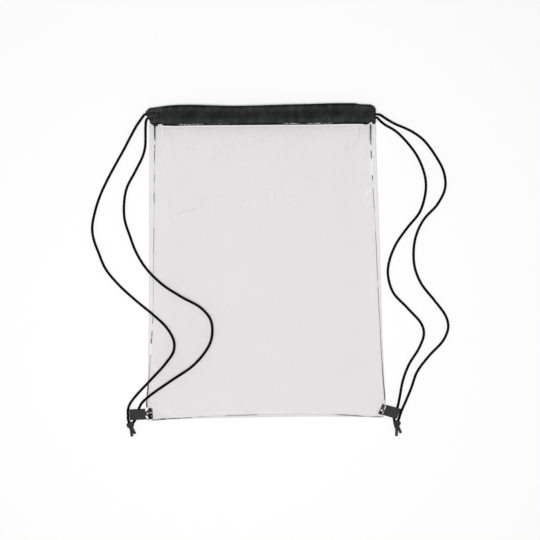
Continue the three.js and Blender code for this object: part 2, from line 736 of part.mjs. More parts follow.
// An overhand knot pulled tight: a body with the cord's turns as ridges, and the two tails below it
function knot({ x, y, tails }) {
  const body = new THREE.SphereGeometry(0.5, knotSides, knotRings);
  const place = body.attributes.position;
  const point = new THREE.Vector3();
  for (let i = 0; i < place.count; i++) {
    point.fromBufferAttribute(place, i);
    const turnAngle = Math.atan2(point.z, point.x);
    const endFade = 1 - 4 * point.y * point.y;
    const ridge = 1 + knotRidge * endFade * Math.cos(knotRidges * turnAngle + knotTwist * point.y);
    place.setXYZ(i, point.x * ridge, point.y, point.z * ridge);
  }
  body.scale(knotWidth, knotLength, knotHeight);
  body.computeBoundingBox();
  body.translate(x, y, -body.boundingBox.min.z);
  const tailSolids = tails.map((end) => {
    const start = new THREE.Vector3(x, y, knotHeight / 2);
    const middle = new THREE.Vector3((x + end.x) / 2, (y + end.y) / 2, knotHeight / 3);
    const tip = new THREE.Vector3(end.x, end.y, cordRadius + floorClear);
    const path = new THREE.CatmullRomCurve3([start, middle, tip]);
    return toSolid(cordTube(path.getSpacedPoints(tailSteps)));
  });
  return fromSolid(tailSolids.reduce((whole, tail) => whole.add(tail), toSolid(body)));
}

const backpack = new THREE.Group();

function addPiece(parent, name, geometry, look) {
  const mesh = new THREE.Mesh(geometry, material(look));
  mesh.name = name;
  parent.add(mesh);
}

const pouch = new THREE.Group();
addPiece(pouch, "back_panel", backPanel(), clearFilm);
addPiece(pouch, "front_panel", frontPanel(), clearFilm);
backpack.add(pouch);

const casings = new THREE.Group();
addPiece(casings, "casing_back", casingBack(), blackFabric);
addPiece(casings, "casing_front", casingFront(), blackFabric);
backpack.add(casings);

const tabGroup = new THREE.Group();
for (const row of tabs) {
  const mesh = tab(row);
  mesh.name = row.name;
  tabGroup.add(mesh);
}
backpack.add(tabGroup);

const cords = new THREE.Group();
addPiece(cords, "cord_left_run", tunnelRun(leftCord), blackCord);
addPiece(cords, "cord_left_outer", strand(leftOuterRoute), blackCord);
addPiece(cords, "cord_left_inner", strand(leftInnerRoute), blackCord);
addPiece(cords, "cord_right_run", tunnelRun(rightCord), blackCord);
addPiece(cords, "cord_right_outer", strand(rightOuterRoute), blackCord);
addPiece(cords, "cord_right_inner", strand(rightInnerRoute), blackCord);
for (const row of knots) addPiece(cords, row.name, knot(row), blackCord);
backpack.add(cords);

export default backpack;
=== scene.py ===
"""Clear drawstring backpack laid flat with its front up: film, casings, cords, corner tabs and knots."""
import logging
import math
from collections.abc import Callable
from dataclasses import dataclass
from enum import Enum

import bpy
import numpy as np
from mathutils import Matrix, Vector


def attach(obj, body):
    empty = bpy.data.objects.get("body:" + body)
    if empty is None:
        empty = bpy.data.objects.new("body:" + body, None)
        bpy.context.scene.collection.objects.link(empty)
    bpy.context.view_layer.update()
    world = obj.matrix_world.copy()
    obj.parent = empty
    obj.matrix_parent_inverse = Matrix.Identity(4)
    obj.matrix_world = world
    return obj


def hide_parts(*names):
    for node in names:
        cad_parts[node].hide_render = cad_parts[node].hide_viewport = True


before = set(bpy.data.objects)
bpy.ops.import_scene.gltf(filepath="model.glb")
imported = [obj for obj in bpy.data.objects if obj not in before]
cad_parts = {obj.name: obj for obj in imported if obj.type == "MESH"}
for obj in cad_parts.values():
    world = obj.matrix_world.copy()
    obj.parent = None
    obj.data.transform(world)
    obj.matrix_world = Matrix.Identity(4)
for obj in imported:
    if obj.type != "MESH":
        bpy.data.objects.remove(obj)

LOG = logging.getLogger("backpack")
MILLIMETRE = 0.001
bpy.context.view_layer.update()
SHADE = "shade"
WHITE = (1.0, 1.0, 1.0, 1.0)
BLACK = (0.0, 0.0, 0.0, 1.0)

# A place is x and y. A pair is the ends of a range, a middle and its reach, or a relief's strength and its
# depth in millimetres
Colour = tuple[float, float, float, float]
Place = tuple[float, float]
Pair = tuple[float, float]

# Steps between two points of a route, sides of the film's lines and of threads, and points of a stitch
SPLINE_STEPS = 24
LINE_SIDES = 8
THREAD_SIDES = 6
STITCH_POINTS = 6
STITCH_ARCH = np.sin(np.linspace(0, np.pi, STITCH_POINTS))


class Side(Enum):
    """A side of the bag, seen from the front."""

    LEFT = "left"
    RIGHT = "right"


class Layer(Enum):
    """The front or the back of the bag."""

    FRONT = "front"
    BACK = "back"


class Table:
    """A short table of numbers with named columns."""

    def __init__(self, columns: tuple[str, ...], rows: list[tuple[float, ...]]) -> None:
        """Keeps each column under its name.

        Args:
            columns: The columns' names.
            rows: One tuple of numbers for each row.
        """
        self.rows = rows
        self.columns = {name: np.array([row[i] for row in rows]) for i, name in enumerate(columns)}

    def read(self, key: str, at: np.ndarray, column: str) -> np.ndarray:
        """Reads a column at values of the key column, on straight lines between rows.

        Args:
            key: Name of the column that is looked up, which rises from row to row.
            at: Values of that column.
            column: Name of the column that is read.

        Returns:
            The values that were read.
        """
        return np.interp(at, self.columns[key], self.columns[column])


# Side edges of the pouch: up is a share of its length, left and right are shares of half its width,
# and the two seams are the shares of the allowance that are left between each seam and its edge
SIDE_ROWS = Table(
    ("up", "left", "right", "left_seam", "right_seam"),
    [
        (-0.014, -1.006, 1.015, 0.1, 0.1), (0.0, -1.02, 1.03, 0.1, 0.1), (0.045, -1.03, 1.047, 0.1, 0.12),
        (0.07, -1.026, 1.046, 0.1, 0.14), (0.127, -1.016, 1.038, 0.17, 0.22),
        (0.246, -1.01, 1.024, 0.51, 0.36), (0.33, -1.008, 1.018, 0.79, 0.44),
        (0.4, -1.006, 1.012, 0.82, 0.56), (0.592, -1.004, 0.998, 0.87, 0.7),
        (0.838, -1.003, 0.976, 0.96, 1.0), (0.948, -1.001, 0.964, 1.05, 1.05),
        (1.03, -1.0, 0.96, 1.06, 1.03),
    ],
)

# Bottom edge: across is a share of half the width, lift a share of the bow
BOTTOM_ROWS = Table(
    ("across", "lift"),
    [
        (-1.05, -1.1), (-0.85, -0.78), (-0.55, -0.36), (-0.2, -0.16), (0.13, 0.04), (0.48, 0.18),
        (0.83, 0.0), (1.05, -0.2),
    ],
)

# Casing outline: along is a share of its length, low and high are shares of its width
CASING_ROWS = Table(
    ("along", "low", "high"),
    [
        (0.0, -0.045, 0.81), (0.012, -0.02, 0.82), (0.018, 0.03, 0.827), (0.036, 0.045, 0.85),
        (0.042, -0.012, 0.86), (0.06, -0.015, 0.89), (0.09, -0.035, 0.925), (0.13, -0.04, 0.945),
        (0.19, -0.024, 0.948), (0.25, -0.026, 0.927), (0.33, -0.026, 0.892), (0.38, -0.026, 0.881),
        (0.44, -0.022, 0.884), (0.52, -0.02, 0.902), (0.61, -0.018, 0.93), (0.72, -0.016, 0.948),
        (0.8, -0.002, 0.976), (0.86, 0.012, 0.99), (0.93, 0.016, 0.99), (0.955, -0.005, 0.942),
        (0.967, 0.0, 0.937), (0.972, 0.02, 0.935), (0.977, 0.1, 0.934), (0.985, 0.1, 0.931),
        (0.99, 0.02, 0.928), (1.0, 0.015, 0.925),
    ],
)

# Ends of the casing: across runs from the lower edge to the fold, and each inset or cover is a share of the
# width by which that end stops short of the casing's tip. The front casing's outer wall has the covers: it
# reaches over the cords where they turn round or come out of the ends
CASING_END_ROWS = Table(
    ("across", "left_inset", "right_inset", "left_cover", "right_cover"),
    [
        (0.0, 0.43, 0.05, 0.39, 0.03), (0.06, 0.415, 0.03, 0.34, 0.01), (0.12, 0.41, 0.01, 0.265, 0.0),
        (0.18, 0.41, 0.005, 0.215, 0.0), (0.28, 0.405, 0.0, 0.2, 0.0), (0.4, 0.405, 0.0, 0.14, 0.0),
        (0.5, 0.17, 0.0, 0.08, 0.0), (0.56, 0.1, 0.155, 0.04, 0.0), (0.62, 0.07, 0.155, 0.01, 0.0),
        (0.72, 0.02, 0.155, 0.0, 0.0), (0.82, 0.04, 0.16, 0.03, 0.025), (0.88, 0.09, 0.17, 0.095, 0.08),
        (0.94, 0.14, 0.2, 0.15, 0.16), (1.0, 0.2, 0.3, 0.22, 0.33),
    ],
)

# Gathers of the film: across is a share of half the width, depth a share of the gather's depth,
# reach a share of the throat
GATHER_ROWS = Table(
    ("across", "depth", "reach"),
    [
        (-0.9, 0.8, 0.5), (-0.8, 1.0, 0.7), (-0.69, 0.5, 0.5), (0.66, 0.5, 0.6), (0.76, 0.8, 1.0),
        (0.86, 1.0, 1.1),
    ],
)

# Slow waves of the front film: each one's share of the sway, its radians to a metre of x and of y and where
# it starts
SWAY_ROWS = Table(
    ("share", "by_x", "by_y", "start"),
    [
        (1.0, 31.0, 12.0, 0.0), (0.6, -23.0, 17.0, 1.3), (0.5, 9.0, 47.0, 0.0),
    ],
)

# Vertical wrinkles of the casing's front: x in metres, height and width as shares of the named ones,
# slant as the shift in x from the lower edge to the fold
WRINKLE_ROWS = Table(
    ("x", "height", "width", "slant"),
    [
        (-0.158, 1.0, 0.6, 0.006), (-0.150, 0.9, 0.5, -0.005), (-0.139, 0.8, 0.7, 0.004),
        (-0.124, 0.9, 0.8, 0.004), (-0.108, 0.5, 0.8, -0.003), (-0.083, 0.9, 1.0, 0.002),
        (-0.066, 0.5, 0.8, -0.002), (-0.042, 0.6, 0.9, 0.003), (-0.021, 0.9, 0.8, -0.002),
        (-0.004, 0.6, 1.0, 0.002), (0.018, 0.4, 0.9, -0.003), (0.039, 0.9, 0.9, 0.002),
        (0.053, 0.8, 0.8, -0.002), (0.074, 0.6, 1.0, 0.004), (0.094, 0.9, 0.7, 0.003),
        (0.112, 0.6, 0.9, -0.004), (0.131, 0.9, 0.6, 0.005), (0.147, 0.8, 0.6, -0.006),
    ],
)

# Light and dark of the left seam: at is y in metres, shade runs from 0 for black to 1 for white,
# and width is a share of the seam line's width. The near-white stretches are painted highlights on the
# seam's fold
LEFT_SEAM_ROWS = Table(
    ("at", "shade", "width"),
    [
        (-0.2132, 0.2, 1.7), (-0.2044, 0.22, 1.6), (-0.2022, 0.6, 0.9), (-0.1978, 0.22, 1.6),
        (-0.1913, 0.25, 1.5), (-0.1891, 0.3, 1.5), (-0.181, 0.28, 1.6), (-0.1781, 0.66, 0.9),
        (-0.1664, 0.64, 0.8), (-0.1372, 0.66, 0.8), (-0.1351, 0.98, 2.2), (-0.1194, 0.98, 2.2),
        (-0.1183, 0.35, 1.4), (-0.1132, 0.35, 1.4), (-0.1095, 0.85, 0.9), (-0.1073, 0.42, 1.2),
        (-0.1022, 0.45, 1.2), (-0.1007, 0.97, 1.7), (-0.0912, 0.96, 1.6), (-0.0898, 0.54, 1.1),
        (-0.0759, 0.62, 0.9), (-0.0737, 0.87, 0.7), (-0.0555, 0.87, 0.7), (-0.0518, 0.76, 0.8),
        (-0.0044, 0.77, 0.8), (0.0131, 0.76, 0.8), (0.0146, 0.62, 0.9), (0.0482, 0.62, 0.9),
        (0.0511, 0.86, 0.7), (0.0847, 0.86, 0.7), (0.0869, 0.5, 1.1), (0.1, 0.52, 1.1),
        (0.1029, 0.85, 0.7), (0.1153, 0.85, 0.7), (0.1175, 0.6, 0.9), (0.1263, 0.6, 0.9),
        (0.1285, 0.87, 0.7), (0.146, 0.87, 0.7), (0.1475, 0.54, 1.1), (0.1613, 0.54, 1.1),
        (0.1628, 0.9, 1.2), (0.1657, 0.52, 1.1), (0.1701, 0.52, 1.1), (0.1715, 0.97, 2.0),
        (0.1759, 0.97, 1.9), (0.1774, 0.48, 1.2), (0.1825, 0.35, 1.5), (0.1854, 0.22, 1.8),
        (0.1927, 0.3, 1.5), (0.1942, 0.15, 2.0), (0.2, 0.12, 2.2),
    ],
)

RIGHT_SEAM_ROWS = Table(
    ("at", "shade", "width"),
    [
        (-0.2088, 0.9, 0.9), (-0.2022, 0.85, 0.9), (-0.2007, 0.38, 1.3), (-0.1796, 0.38, 1.3),
        (-0.1577, 0.46, 1.1), (-0.1212, 0.6, 0.9), (-0.0847, 0.62, 0.9), (-0.0555, 0.6, 0.9),
        (-0.0372, 0.6, 0.9), (-0.035, 0.88, 0.8), (-0.0285, 0.88, 0.8), (-0.0263, 0.66, 0.9),
        (0.0102, 0.64, 0.9), (0.0438, 0.66, 0.9), (0.0467, 0.86, 0.7), (0.0759, 0.86, 0.7),
        (0.0781, 0.64, 0.9), (0.1058, 0.64, 0.9), (0.108, 0.95, 1.9), (0.119, 0.95, 2.0),
        (0.1204, 0.44, 1.2), (0.1253, 0.44, 1.2), (0.1266, 0.98, 3.4), (0.1507, 0.98, 3.2),
        (0.1526, 0.44, 1.3), (0.1616, 0.44, 1.3), (0.1631, 0.97, 2.2), (0.1704, 0.96, 2.0),
        (0.1723, 0.55, 1.2), (0.1767, 0.5, 1.2), (0.1781, 0.32, 1.5), (0.1861, 0.4, 1.4),
        (0.1876, 0.26, 1.6), (0.1971, 0.24, 1.6), (0.2, 0.3, 1.6),
    ],
)

# The same for the bottom seam, with at as x in metres; inset is how far the line lies inside the edge
BOTTOM_SEAM_ROWS = Table(
    ("at", "shade", "width", "inset"),
    [
        (-0.1642, 0.5, 1.1, 0.0003), (-0.1555, 0.45, 1.2, 0.0005), (-0.154, 0.75, 0.9, 0.0008),
        (-0.1526, 0.3, 1.5, 0.001), (-0.1447, 0.3, 1.5, 0.0012), (-0.1434, 0.85, 0.9, 0.0012),
        (-0.1416, 0.52, 1.1, 0.0012), (-0.1222, 0.54, 1.1, 0.0012), (-0.121, 0.97, 1.4, 0.0012),
        (-0.1191, 0.58, 1.0, 0.0012), (-0.1082, 0.6, 1.0, 0.0014), (-0.1058, 0.88, 0.8, 0.0016),
        (-0.0993, 0.86, 0.8, 0.0018), (-0.0978, 0.76, 0.9, 0.002), (-0.0898, 0.77, 0.9, 0.0022),
        (-0.0869, 0.88, 0.8, 0.0024), (-0.0606, 0.88, 0.8, 0.0028), (-0.0562, 0.66, 1.1, 0.003),
        (-0.0139, 0.64, 1.2, 0.0034), (-0.0095, 0.88, 0.9, 0.0034), (0.0985, 0.9, 0.8, 0.003),
        (0.1073, 0.64, 1.1, 0.0028), (0.1117, 0.52, 1.4, 0.0026), (0.1241, 0.54, 1.3, 0.0022),
        (0.1409, 0.57, 1.2, 0.0014), (0.1438, 0.8, 0.9, 0.0012), (0.1555, 0.8, 0.9, 0.0008),
        (0.1584, 0.6, 1.1, 0.0012), (0.1667, 0.6, 1.1, 0.0011), (0.1715, 0.75, 1.0, 0.0010),
    ],
)

# Creases of the film: where each starts and ends in metres, its width and the height of its ridge. A painted
# highlight lies along each crease
CREASE_ROWS = Table(
    ("x0", "y0", "x1", "y1", "width", "height"),
    [
        (-0.1585, 0.2004, -0.1490, 0.2010, 0.0030, 0.0),
        (-0.1500, 0.1975, -0.1474, 0.1825, 0.0024, 0.0004),
        (-0.1395, 0.1880, -0.1355, 0.1720, 0.0020, 0.0004),
        (-0.1285, 0.0705, -0.0970, 0.0768, 0.0011, 0.0002),
        (-0.1390, 0.0915, -0.1375, 0.0780, 0.0008, 0.0002),
        (0.1160, 0.1625, 0.1220, 0.1770, 0.0012, 0.0003),
        (0.1338, 0.1765, 0.1376, 0.1965, 0.0012, 0.0003),
        (0.1136, 0.1120, 0.1168, 0.1330, 0.0005, 0.0002),
        (0.1468, 0.0952, 0.1550, 0.1095, 0.0030, 0.0004),
        (0.1494, 0.0800, 0.1548, 0.0925, 0.0020, 0.0003),
        (0.1550, 0.1500, 0.1585, 0.1262, 0.0030, 0.0004),
        (0.1592, 0.1640, 0.1606, 0.1530, 0.0020, 0.0003),
        (0.1512, 0.1990, 0.1518, 0.1720, 0.0006, 0.0003), (0.1552, 0.2010, 0.1562, 0.2042, 0.0022, 0.0),
        (-0.1570, -0.1120, -0.1520, -0.1020, 0.0010, 0.0002),
        (-0.1480, -0.0480, -0.1410, -0.0360, 0.0010, 0.0002),
        (-0.1480, -0.2190, -0.1340, -0.2180, 0.0022, 0.0002),
        (-0.0767, -0.2200, -0.0300, -0.2190, 0.0012, 0.0),
        (-0.0250, -0.2190, 0.0445, -0.2186, 0.0012, 0.0), (0.0640, -0.2196, 0.0770, -0.2192, 0.0010, 0.0),
        (0.1080, -0.2198, 0.1180, -0.2202, 0.0009, 0.0), (0.1360, -0.2222, 0.1430, -0.2226, 0.0010, 0.0),
        (0.1708, -0.1870, 0.1736, -0.1960, 0.0010, 0.0002),
    ],
)

# Zigzag tacks that hold the tucked ends of the two tabs: middle of each in metres, its length, its breadth
# and the direction in which its length runs, in degrees
TACK_ROWS = Table(
    ("x", "y", "length", "breadth", "turn"),
    [
        (-0.1665, -0.2158, 0.0068, 0.0056, 4.0), (-0.1669, -0.2243, 0.0080, 0.0078, 2.0),
        (0.1722, -0.2132, 0.0058, 0.0062, -15.0), (0.1700, -0.2196, 0.0050, 0.0056, -15.0),
    ],
)

# Glints of the film where it is drawn over the two tabs: middle of each in metres, its length, its width
# and the direction in which it runs, in degrees
GLINT_ROWS = Table(
    ("x", "y", "length", "width", "turn"),
    [
        (-0.1722, -0.2146, 0.0070, 0.0034, 70.0), (-0.1712, -0.2208, 0.0030, 0.0014, 20.0),
        (-0.1718, -0.2262, 0.0060, 0.0028, -40.0), (-0.1663, -0.2196, 0.0050, 0.0009, 20.0),
        (-0.1648, -0.2150, 0.0016, 0.0008, 60.0), (-0.1650, -0.2245, 0.0018, 0.0008, 40.0),
        (0.1703, -0.2161, 0.0036, 0.0026, 30.0), (0.1752, -0.2120, 0.0090, 0.0012, 72.0),
        (0.1722, -0.2196, 0.0040, 0.0011, 60.0), (0.1722, -0.2128, 0.0016, 0.0008, 70.0),
    ],
)

# How much painted glint the stitches of the hem carry along it, with x in metres
HEM_GLINT_ROWS = Table(
    ("x", "glint"),
    [
        (-0.130, 0.0), (-0.122, 0.9), (-0.098, 0.85), (-0.088, 0.25), (-0.060, 0.35), (-0.034, 0.05),
        (0.024, 0.05), (0.034, 0.7), (0.046, 0.7), (0.056, 0.15), (0.070, 0.75), (0.092, 0.7),
        (0.102, 0.05),
    ],
)


@dataclass(frozen=True)
class CordRoute:
    """A free strand's route from the casing to its knot: x, y and height over what it lies on."""

    node: str
    knot: str
    points: tuple[tuple[float, float, float], ...]


LEFT_OUTER = CordRoute(
    "cord_left_outer",
    "knot_left",
    (
        (-0.1733, 0.215, 0.00735), (-0.1748, 0.2148, 0.0073), (-0.1775, 0.2119, 0.0066),
        (-0.1826, 0.2049, 0.0049), (-0.187, 0.1987, 0.0032), (-0.197, 0.181, 0.0006),
        (-0.2045, 0.1665, 0),
        (-0.2175, 0.143, 0), (-0.23, 0.1195, 0), (-0.2405, 0.0965, 0),
        (-0.248, 0.073, 0), (-0.252, 0.0495, 0), (-0.2495, 0.032, 0),
        (-0.243, 0.0145, 0), (-0.233, -0.009, 0), (-0.2145, -0.032, 0),
        (-0.189, -0.0555, 0), (-0.1605, -0.079, 0), (-0.1425, -0.0965, 0),
        (-0.1325, -0.1155, 0), (-0.133, -0.13, 0), (-0.1455, -0.149, 0),
        (-0.167, -0.1725, 0), (-0.1884, -0.1955, 0), (-0.1974, -0.208, 0),
        (-0.1999, -0.2165, 0), (-0.1997, -0.224, 0.0003), (-0.1996, -0.2294, 0.001),
        (-0.1984, -0.2329, 0.0016),
    ),
)
LEFT_INNER = CordRoute(
    "cord_left_inner",
    "knot_left",
    (
        (-0.1695, 0.2096, 0.00125), (-0.1709, 0.2096, 0.0012), (-0.173, 0.207, 0.0009),
        (-0.174, 0.199, 0.0003), (-0.1742, 0.187, 0), (-0.1746, 0.1695, 0),
        (-0.178, 0.155, 0), (-0.1895, 0.1315, 0), (-0.2015, 0.108, 0),
        (-0.2055, 0.0845, 0), (-0.2045, 0.0615, 0), (-0.197, 0.038, 0),
        (-0.188, 0.0145, 0), (-0.1735, -0.009, 0), (-0.1505, -0.032, 0),
        (-0.122, -0.0505, 0), (-0.0935, -0.0665, 0), (-0.0795, -0.083, 0),
        (-0.0765, -0.102, 0), (-0.081, -0.121, 0), (-0.1025, -0.149, 0),
        (-0.136, -0.1725, 0), (-0.1685, -0.1955, 0), (-0.18, -0.2065, 0.0007),
        (-0.1839, -0.2142, 0.0011), (-0.1866, -0.223, 0.0013), (-0.1894, -0.2304, 0.0013),
        (-0.1916, -0.2336, 0.0016),
    ),
)
RIGHT_OUTER = CordRoute(
    "cord_right_outer",
    "knot_right",
    (
        (0.1626, 0.2149, 0.00735), (0.1644, 0.2149, 0.0072), (0.1678, 0.2142, 0.0066),
        (0.1726, 0.2113, 0.0053), (0.1818, 0.2057, 0.0028), (0.191, 0.201, 0.001),
        (0.2044, 0.1954, 0), (0.216, 0.1896, 0), (0.2315, 0.178, 0),
        (0.249, 0.155, 0), (0.261, 0.1315, 0), (0.263, 0.108, 0),
        (0.252, 0.0845, 0), (0.2315, 0.0615, 0), (0.2205, 0.038, 0),
        (0.217, 0.0145, 0), (0.219, -0.009, 0), (0.2285, -0.032, 0),
        (0.247, -0.0555, 0), (0.264, -0.079, 0), (0.2675, -0.095, 0),
        (0.2605, -0.114, 0), (0.2395, -0.137, 0), (0.222, -0.1605, 0),
        (0.2135, -0.184, 0), (0.2045, -0.2055, 0), (0.2009, -0.2135, 0),
        (0.198, -0.221, 0.0003), (0.1959, -0.2272, 0.001), (0.1947, -0.2302, 0.0016),
    ),
)
RIGHT_INNER = CordRoute(
    "cord_right_inner",
    "knot_right",
    (
        (0.1626, 0.2108, 0.00125), (0.1638, 0.2108, 0.0012), (0.166, 0.2082, 0.0009),
        (0.1744, 0.2009, 0.0003), (0.1898, 0.1918, 0), (0.2045, 0.178, 0),
        (0.222, 0.155, 0), (0.232, 0.1315, 0), (0.235, 0.114, 0),
        (0.2335, 0.0965, 0), (0.226, 0.073, 0), (0.2075, 0.0495, 0),
        (0.1915, 0.0265, 0), (0.182, 0.003, 0), (0.1795, -0.0175, 0),
        (0.187, -0.044, 0), (0.208, -0.067, 0), (0.2285, -0.0905, 0),
        (0.232, -0.105, 0), (0.225, -0.1255, 0), (0.2105, -0.149, 0),
        (0.2015, -0.1725, 0), (0.197, -0.1955, 0), (0.1948, -0.2065, 0.0007),
        (0.193, -0.2132, 0.0013), (0.1902, -0.2206, 0.0013), (0.1883, -0.227, 0.0013),
        (0.1887, -0.2308, 0.0016),
    ),
)


@dataclass(frozen=True)
class CordRun:
    """The route of one cord inside the casings: its two exits, the lane that it keeps and where it turns."""

    node: str
    front_exit: Place
    back_exit: Place
    lane: float
    turn: Place


LEFT_RUN = CordRun("cord_left_run", (-0.173, 0.215), (-0.1692, 0.2096), 0.219, (0.1572, 0.2205))
RIGHT_RUN = CordRun("cord_right_run", (0.1623, 0.2149), (0.1623, 0.2108), 0.2118, (-0.1614, 0.2062))


def ease(share: np.ndarray | float) -> np.ndarray:
    """A share from 0 to 1 with soft ends."""
    t = np.clip(share, 0.0, 1.0)
    return t * t * (3.0 - 2.0 * t)


def mix(a: np.ndarray | float, b: np.ndarray | float, share: np.ndarray | float) -> np.ndarray | float:
    """The value at a share of the way from a to b."""
    return a + (b - a) * share


def hump(offset: np.ndarray, width: float) -> np.ndarray:
    """A soft ridge, 1 in its middle and near 0 at twice its width."""
    return np.exp(-((offset / width) ** 2))


def travelled(path: np.ndarray) -> np.ndarray:
    """Distance along a path at each of its points, from 0 at its start."""
    return np.concatenate([[0.0], np.cumsum(np.linalg.norm(np.diff(path, axis=0), axis=1))])


def points_at(at: np.ndarray, distance: np.ndarray, path: np.ndarray) -> np.ndarray:
    """Points of a path at some of its distances, on straight lines between its own points."""
    return np.stack([np.interp(at, distance, path[:, k]) for k in range(path.shape[1])], axis=1)


def declare(piece: bpy.types.Object, node: str | None = None) -> bpy.types.Object:
    """Hides the part that a piece replaces, where it replaces one, and attaches the piece to the root body.

    Args:
        piece: The piece.
        node: The node of the part that it replaces, where it replaces one.

    Returns:
        The same piece.
    """
    if node is not None:
        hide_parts(node)
    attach(piece, "root")
    return piece


def srgb_to_linear(level: float) -> float:
    """A display level from 0 to 1 as linear light."""
    return level / 12.92 if level <= 0.04045 else ((level + 0.055) / 1.055) ** 2.4


def grey(level: float, warmth: float = 0.0) -> Colour:
    """A linear grey for a display level from 0 to 255, with red raised and blue lowered by warmth."""
    base = srgb_to_linear(level / 255.0)
    return (base * (1 + warmth), base, base * (1 - warmth), 1.0)


class Finish:
    """A material's node tree, with short calls that add and join its nodes."""

    def __init__(self, name: str) -> None:
        """Starts an empty material.

        Args:
            name: The material's name.
        """
        self.material = bpy.data.materials.new(name)
        self.material.use_nodes = True
        self.tree = self.material.node_tree
        self.tree.nodes.clear()
        self.output = self.add("ShaderNodeOutputMaterial")

    def feed(self, socket: bpy.types.NodeSocket, value: object) -> None:
        """Links another socket to this one, or sets a plain value on it."""
        if isinstance(value, bpy.types.NodeSocket):
            self.tree.links.new(value, socket)
        else:
            socket.default_value = value

    def add(self, kind: str, **values: object) -> bpy.types.Node:
        """Adds a node.

        Args:
            kind: The node's type name.
            values: Input sockets by name with underscores for spaces, or else the node's own settings.

        Returns:
            The new node.
        """
        node = self.tree.nodes.new(kind)
        for name, value in values.items():
            socket = node.inputs.get(name.replace("_", " "))
            if hasattr(node, name) and socket is None:
                setattr(node, name, value)
            else:
                self.feed(socket, value)
        return node

    def math(self, operation: str, a: object, b: object = None) -> bpy.types.NodeSocket:
        """Adds a Math node.

        Args:
            operation: The node's operation.
            a: First socket or number.
            b: Second socket or number, where the operation has one.

        Returns:
            The result's socket.
        """
        node = self.add("ShaderNodeMath", operation=operation)
        for socket, value in zip(node.inputs, (a, b)):
            if value is not None:
                self.feed(socket, value)
        return node.outputs[0]

    def blend(self, share: object, a: object, b: object) -> bpy.types.NodeSocket:
        """Mixes two colours by a share, and returns the result's socket."""
        node = self.add("ShaderNodeMix", data_type="RGBA")
        for socket, value in zip((node.inputs["Factor"], node.inputs[6], node.inputs[7]), (share, a, b)):
            self.feed(socket, value)
        return node.outputs[2]

    def spread(
        self, value: object, low: float, high: float, to_low: float = 0.0, to_high: float = 1.0
    ) -> bpy.types.NodeSocket:
        """Maps a value's range to another range, and returns the result's socket."""
        node = self.add("ShaderNodeMapRange", From_Min=low, From_Max=high, To_Min=to_low, To_Max=to_high)
        self.feed(node.inputs["Value"], value)
        return node.outputs["Result"]

    def noise(self, place: object, scale: float, detail: float = 3.0) -> bpy.types.NodeSocket:
        """Adds a noise texture over a place, and returns its value's socket."""
        return self.add("ShaderNodeTexNoise", Vector=place, Scale=scale, Detail=detail).outputs["Fac"]

    def place(self, kind: str = "Object") -> bpy.types.NodeSocket:
        """The place on a piece, as object coordinates or as its UV."""
        return self.add("ShaderNodeTexCoord").outputs[kind]

    def split(self, place: object) -> tuple[bpy.types.NodeSocket, bpy.types.NodeSocket]:
        """The first two parts of a place."""
        parts = self.add("ShaderNodeSeparateXYZ", Vector=place)
        return parts.outputs["X"], parts.outputs["Y"]

    def shade(self) -> bpy.types.NodeSocket:
        """The mesh's own shade, from 0 to 1."""
        return self.add("ShaderNodeAttribute", attribute_name=SHADE).outputs["Fac"]

    def tone(self) -> bpy.types.NodeSocket:
        """The mesh's own shade as a grey of linear light."""
        return self.blend(self.math("POWER", self.shade(), 2.2), BLACK, WHITE)

    def relief(self, height: object, strength: float, depth: float) -> bpy.types.NodeSocket:
        """Turns a height into a relief of a depth in millimetres, and returns its normal's socket."""
        bump = self.add("ShaderNodeBump", Strength=strength, Distance=depth * MILLIMETRE, Height=height)
        return bump.outputs["Normal"]

    def interlace(self, a: object, b: object, crown: float) -> bpy.types.NodeSocket:
        """The height of two sets of strands that pass over and under each other.

        Args:
            a: Socket that counts the strands of the first set.
            b: Socket that counts those of the second set.
            crown: How far a strand falls towards the places where it dips under.

        Returns:
            A socket with the height, from 0 to 1.
        """
        cells = self.math("ADD", self.math("FLOOR", a), self.math("FLOOR", b))
        parity = self.math("MULTIPLY", self.math("FRACT", self.math("MULTIPLY", cells, 0.5)), 2.0)
        squares = []
        for inside in (self.math("FRACT", a), self.math("FRACT", b)):
            centred = self.math("SUBTRACT", self.math("MULTIPLY", inside, 2.0), 1.0)
            squares.append(self.math("MULTIPLY", centred, centred))
        heights = []
        for across, along in (squares, squares[::-1]):
            profile = self.math("SUBTRACT", 1.0, across)
            bulge = self.math("SUBTRACT", 1.0, self.math("MULTIPLY", along, crown))
            heights.append(self.math("MULTIPLY", profile, bulge))
        gap = self.math("SUBTRACT", heights[1], heights[0])
        return self.math("ADD", heights[0], self.math("MULTIPLY", gap, parity))

    def mix_shaders(self, share: object, a: bpy.types.Node, b: bpy.types.Node) -> bpy.types.Node:
        """Mixes two shaders by a share and returns the node."""
        node = self.add("ShaderNodeMixShader")
        for socket, value in zip(node.inputs, (share, a.outputs[0], b.outputs[0])):
            self.feed(socket, value)
        return node

    def surface(self, shader: bpy.types.Node) -> bpy.types.Material:
        """Joins a shader to the output and returns the finished material."""
        self.feed(self.output.inputs["Surface"], shader.outputs[0])
        return self.material

    def skin(self, colour: object, normal: object, **values: object) -> bpy.types.Material:
        """Ends the material in an opaque or milky surface.

        Args:
            colour: Socket of its colour.
            normal: Socket of its relief's normal.
            values: The shader's other inputs, by name with underscores for spaces.

        Returns:
            The finished material.
        """
        return self.surface(self.add("ShaderNodeBsdfPrincipled", Base_Color=colour, Normal=normal, **values))


